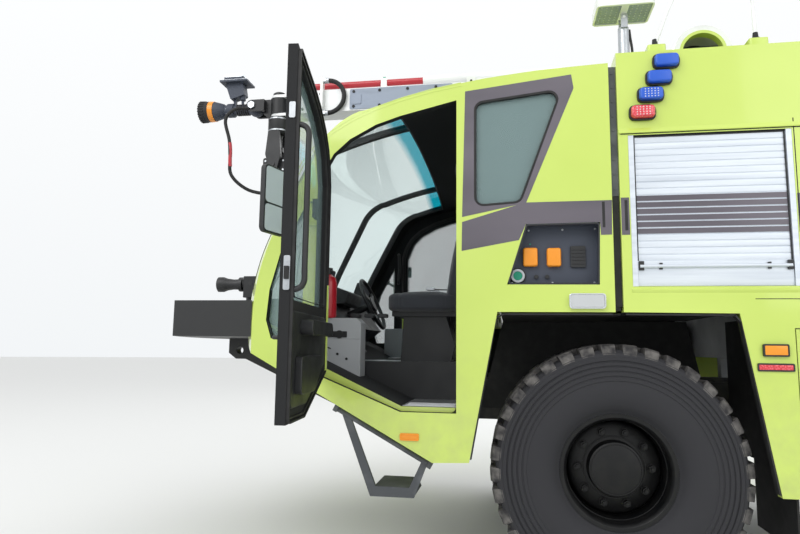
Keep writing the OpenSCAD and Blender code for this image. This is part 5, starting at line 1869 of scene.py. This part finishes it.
def nozzle_bands(bm):
    """Yellow band round the nozzle's bell."""
    turned(bm, [(0.0865, 0.385), (0.0895, 0.385), (0.0925, 0.430), (0.0885, 0.430)], FORWARD, 64)


def nozzle_cup(bm):
    """Black rubber cup round the bell's mouth."""
    turned(bm, [(0.0885, 0.431), (0.0916, 0.431), (0.0916, 0.5195), (0.0795, 0.5195), (0.0795, 0.514),
                (0.0885, 0.512)], FORWARD, 64)


def nozzle_teeth(bm):
    """Rubber teeth round the bell's mouth and the grip ribs on the barrel."""
    ring_of_bars(bm, 24, 0.0905, 0.470, 0.520, 0.006, 8, end_ring=0.0925)
    for start in (0.06 + 0.02 * k for k in range(6)):
        turned(bm, [(0.047, start), (0.0515, start + 0.002), (0.0515, start + 0.010), (0.047, start + 0.012)],
               Matrix(), 48)
    bm.transform(FORWARD)


def nozzle_bolts(bm):
    """Two rings of bolts round the nozzle."""
    ring_of_bars(bm, 8, 0.055, 0.206, 0.212, 0.006, 6)
    ring_of_bars(bm, 8, 0.055, 0.258, 0.265, 0.006, 6)
    bm.transform(FORWARD)


def camera_plate(bm):
    """Mounting plate and case of the nozzle's camera."""
    box(bm, (-0.3205, -0.0905, 0.2565), (-0.0595, 0.0905, 0.2585))
    prism(bm, rounded(rectangle(-0.301, 0.300, -0.119, 0.331), 0.015), -0.046, 0.046)


def camera_lens(bm):
    """The camera's two lenses."""
    for y in (-0.022, 0.022):
        bar(bm, (-0.3005, y, 0.293), (-0.3025, y, 0.293), 0.015, 24)


def lamp_frame(bm):
    """Floodlight case with two open windows in its underside, on its tilting neck."""
    case = rounded(rectangle(-0.175, -0.130, 0.175, 0.130), 0.03)
    windows = [rounded(rectangle(s * 0.092 - 0.070, -0.114, s * 0.092 + 0.070, 0.114), 0.008)
               for s in (-1, 1)]
    plate(bm, case, windows, 0.0345, 0.0475)
    prism(bm, case, 0.047, 0.1035)
    upright = Matrix(((1, 0, 0, 0), (0, 0, 1, 0), (0, 1, 0, 0), (0, 0, 0, 1)))
    bmesh.ops.transform(bm, matrix=upright, verts=bm.verts)
    box(bm, (-0.012, -0.028, -0.012), (0.012, 0.028, 0.036))
    peg(bm, 0, 0, -0.046, 0.046, 0.0099, 20)


def lamp_panes(bm):
    """Emitter panels in the floodlight's underside."""
    for x in (-0.092, 0.092):
        box(bm, (x - 0.069, -0.113, 0.040), (x + 0.069, 0.113, 0.0465))


def lamp_emitters(bm):
    """Rows of emitters in the floodlight's windows."""
    for middle in (-0.092, 0.092):
        for x in (middle - 0.048 + 0.032 * i for i in range(4)):
            for y in (-0.090 + 0.030 * j for j in range(7)):
                bar(bm, (x, y, 0.040), (x, y, 0.038), 0.005, 10)


def lamp_fins(bm):
    """Cooling fins on the floodlight's back."""
    for x in (-0.14 + 0.02 * i for i in range(15)):
        box(bm, (x - 0.002, -0.11, 0.100), (x + 0.002, 0.11, 0.1035))


def mast_rings(bm):
    """Seal and clamp at the top of the mast's tube."""
    turned(bm, [(0.0345, -0.342), (0.0465, -0.342), (0.0465, -0.320), (0.040, -0.310), (0.0345, -0.310)],
           Matrix(), 40)


def mast_cable(bm):
    """Cable from the post to the lamp."""
    tube(bm, [(0.036, 0, -0.28), (0.050, 0, -0.22), (0.040, 0, -0.12), (0.036, 0, -0.07)], 0.008)


def aerial_feet(bm):
    """Rubber feet of the aerials."""
    for x in AERIAL_X:
        turned(bm, [(0.0, 0.0), (0.030, 0.0), (0.030, 0.010), (0.016, 0.022), (0.0135, 0.05), (0.0, 0.05)],
               Matrix.Translation((x, AERIAL_Y, 3.0805)), 32, closed=False)


class TRUCK_OT_boom(bpy.types.Operator):
    """Pipes, hoses, collars and nozzle details of the boom, and the light mast"""

    bl_idname = "truck.boom"
    bl_label = "Boom and Mast"

    def execute(self, context):
        for body, origin, looks in (
                ("chassis", MAST, ((mast_rings, "sheet_rubber"),)),
                ("chassis", (0, 0, 0), ((aerial_feet, "sheet_rubber"),)),
                ("upper_boom", (0, 0, 0), ((pipe_duct, "boom_enamel"), (boom_collar, "boom_enamel"))),
                ("inner_boom", (0, 0, 0), (
                    (pipe_sleeve, "red_enamel"), (pipe_brackets, "boom_enamel"),
                    (pipe_clamps, "green_plastic"), (boom_hoses, "sheet_rubber"),
                    (boom_glands, "bare_aluminium"))),
                ("boom_head", (0, 0, 0), (
                    (head_drums, "black_moulding"), (head_hose, "sheet_rubber"),
                    (head_collars, "bare_aluminium"), (head_hose_band, "red_enamel"))),
                ("boom_nozzle", TILT, (
                    (nozzle_bands, "amber_lens"), (nozzle_cup, "sheet_rubber"),
                    (nozzle_teeth, "sheet_rubber"), (nozzle_bolts, "bare_aluminium"),
                    (camera_plate, "bare_aluminium"), (camera_lens, "sheet_rubber"))),
                ("mast_lamp", MAST, (
                    (lamp_panes, "grey_enamel"), (lamp_emitters, "bare_aluminium"),
                    (lamp_fins, "boom_enamel"))),
                ("mast", MAST, ((mast_cable, "sheet_rubber"),))):
            for build, look in looks:
                one_piece(build, look, body, origin=origin, sharp=40)
        both_sides(boom_cheeks, "grey_enamel", body="inner_boom", sharp=40)
        both_sides(tool_bolts, "bare_aluminium", body="boom_head", sharp=40)
        both_sides(boom_bolts, "sheet_rubber", body="inner_boom")
        one_piece(nozzle_form, "slate_panel", "boom_nozzle", origin=TILT, bevel=0.001,
                  replaces=("boom_nozzle",))
        one_piece(turret_form, "black_moulding", "turret_nozzle", origin=TURRET, replaces=("turret_nozzle",))
        one_piece(lamp_frame, "boom_enamel", "mast_lamp", origin=MAST, bevel=0.002, replaces=("mast_lamp",))
        return {"FINISHED"}


# Studio

CAMERA_SPOT = Vector((-0.5744, -5.077, 1.3427))
CAMERA_YAW = math.radians(-9.94)
CAMERA_PITCH = math.radians(7.37)
CAMERA_ROLL = math.radians(0.72)
FOCAL_PIXELS = 626.05
PICTURE_WIDTH = 800


def set_camera():
    """A camera where the photograph was taken from, with its lens."""
    ahead = Vector((math.sin(CAMERA_YAW) * math.cos(CAMERA_PITCH),
                    math.cos(CAMERA_YAW) * math.cos(CAMERA_PITCH), math.sin(CAMERA_PITCH)))
    level = Vector((math.cos(CAMERA_YAW), -math.sin(CAMERA_YAW), 0))
    above = level.cross(ahead)
    right = level * math.cos(CAMERA_ROLL) + above * math.sin(CAMERA_ROLL)
    up = -level * math.sin(CAMERA_ROLL) + above * math.cos(CAMERA_ROLL)
    camera = bpy.data.objects.new("camera", bpy.data.cameras.new("camera"))
    camera.matrix_world = Matrix((right, up, -ahead)).transposed().to_4x4()
    camera.location = CAMERA_SPOT
    camera.data.lens = camera.data.sensor_width * FOCAL_PIXELS / PICTURE_WIDTH
    camera.data.clip_end = 200
    bpy.context.scene.collection.objects.link(camera)
    bpy.context.scene.camera = camera


def add_light(name, spot, target, size, watts):
    """A soft square lamp turned to a point."""
    light = bpy.data.lights.new(name, "AREA")
    light.size = size
    light.energy = watts
    lamp = bpy.data.objects.new(name, light)
    lamp.location = spot
    lamp.rotation_mode = "QUATERNION"
    lamp.rotation_quaternion = (Vector(target) - Vector(spot)).to_track_quat("-Z", "Y")
    bpy.context.scene.collection.objects.link(lamp)


class TRUCK_OT_stage(bpy.types.Operator):
    """Pale floor, soft overcast light and the camera"""

    bl_idname = "truck.stage"
    bl_label = "Stage"

    def execute(self, context):
        set_camera()
        bm = bmesh.new()
        bmesh.ops.create_circle(bm, cap_ends=True, segments=96, radius=70)
        floor = new_object("floor", bm)
        tree = new_finish("studio_floor", FLOOR_PALE, Roughness=0.75)
        colour = tree.nodes["Principled BSDF"].inputs["Base Color"]
        colour.default_value = tuple(context.scene.stage_colours.floor) + (1.0,)
        join(tree, Normal=relief(tree, grains(tree, 20), 0.3))
        floor.data.materials.append(bpy.data.materials["studio_floor"])
        world = bpy.data.worlds.new("studio")
        world.use_nodes = True
        tree = world.node_tree
        way = add_node(tree, "ShaderNodeTexCoord").outputs["Generated"]
        up = add_node(tree, "ShaderNodeSeparateXYZ", {0: way}).outputs["Z"]
        sky = mixed(tree, spread(tree, up, -0.1, 0.9), "#E9ECEE", "#FFFFFF")
        tree.links.new(sky, tree.nodes["Background"].inputs["Color"])
        tree.nodes["Background"].inputs["Strength"].default_value = 1.08
        context.scene.world = world
        add_light("key", (-7, -11, 11), (0, 0, 1.5), 9, 900)
        add_light("fill", (8, -10, 6), (3, 0, 1.5), 8, 250)
        add_light("back", (4, 12, 9), (3, 0, 2), 8, 500)
        context.scene.view_settings.view_transform = "Standard"
        return {"FINISHED"}


PARTS = (TRUCK_OT_stage, TRUCK_OT_finishes, TRUCK_OT_tyres, TRUCK_OT_stripes, TRUCK_OT_windows,
         TRUCK_OT_lamps, TRUCK_OT_shutters, TRUCK_OT_cab, TRUCK_OT_outside, TRUCK_OT_boom)


class TRUCK_PT_panel(bpy.types.Panel):
    """Lists the truck's pieces in the sidebar"""

    bl_label = "Fire Truck"
    bl_idname = "TRUCK_PT_panel"
    bl_space_type = "VIEW_3D"
    bl_region_type = "UI"
    bl_category = "Fire Truck"

    def draw(self, context):
        for group in (context.scene.truck_sizes, context.scene.stage_colours):
            for key in group.__annotations__:
                self.layout.prop(group, key)
        for part in PARTS:
            self.layout.operator(part.bl_idname)


CLASSES = (TruckSizes, StageColours) + PARTS + (TRUCK_PT_panel,)


def register():
    for item in CLASSES:
        bpy.utils.register_class(item)
    bpy.types.Scene.truck_sizes = PointerProperty(type=TruckSizes)
    bpy.types.Scene.stage_colours = PointerProperty(type=StageColours)


def unregister():
    del bpy.types.Scene.stage_colours
    del bpy.types.Scene.truck_sizes
    for item in reversed(CLASSES):
        bpy.utils.unregister_class(item)


def main():
    """Runs every operator in order."""
    register()
    for part in PARTS:
        group, name = part.bl_idname.split(".")
        getattr(getattr(bpy.ops, group), name)()


if __name__ == "__main__":
    main()
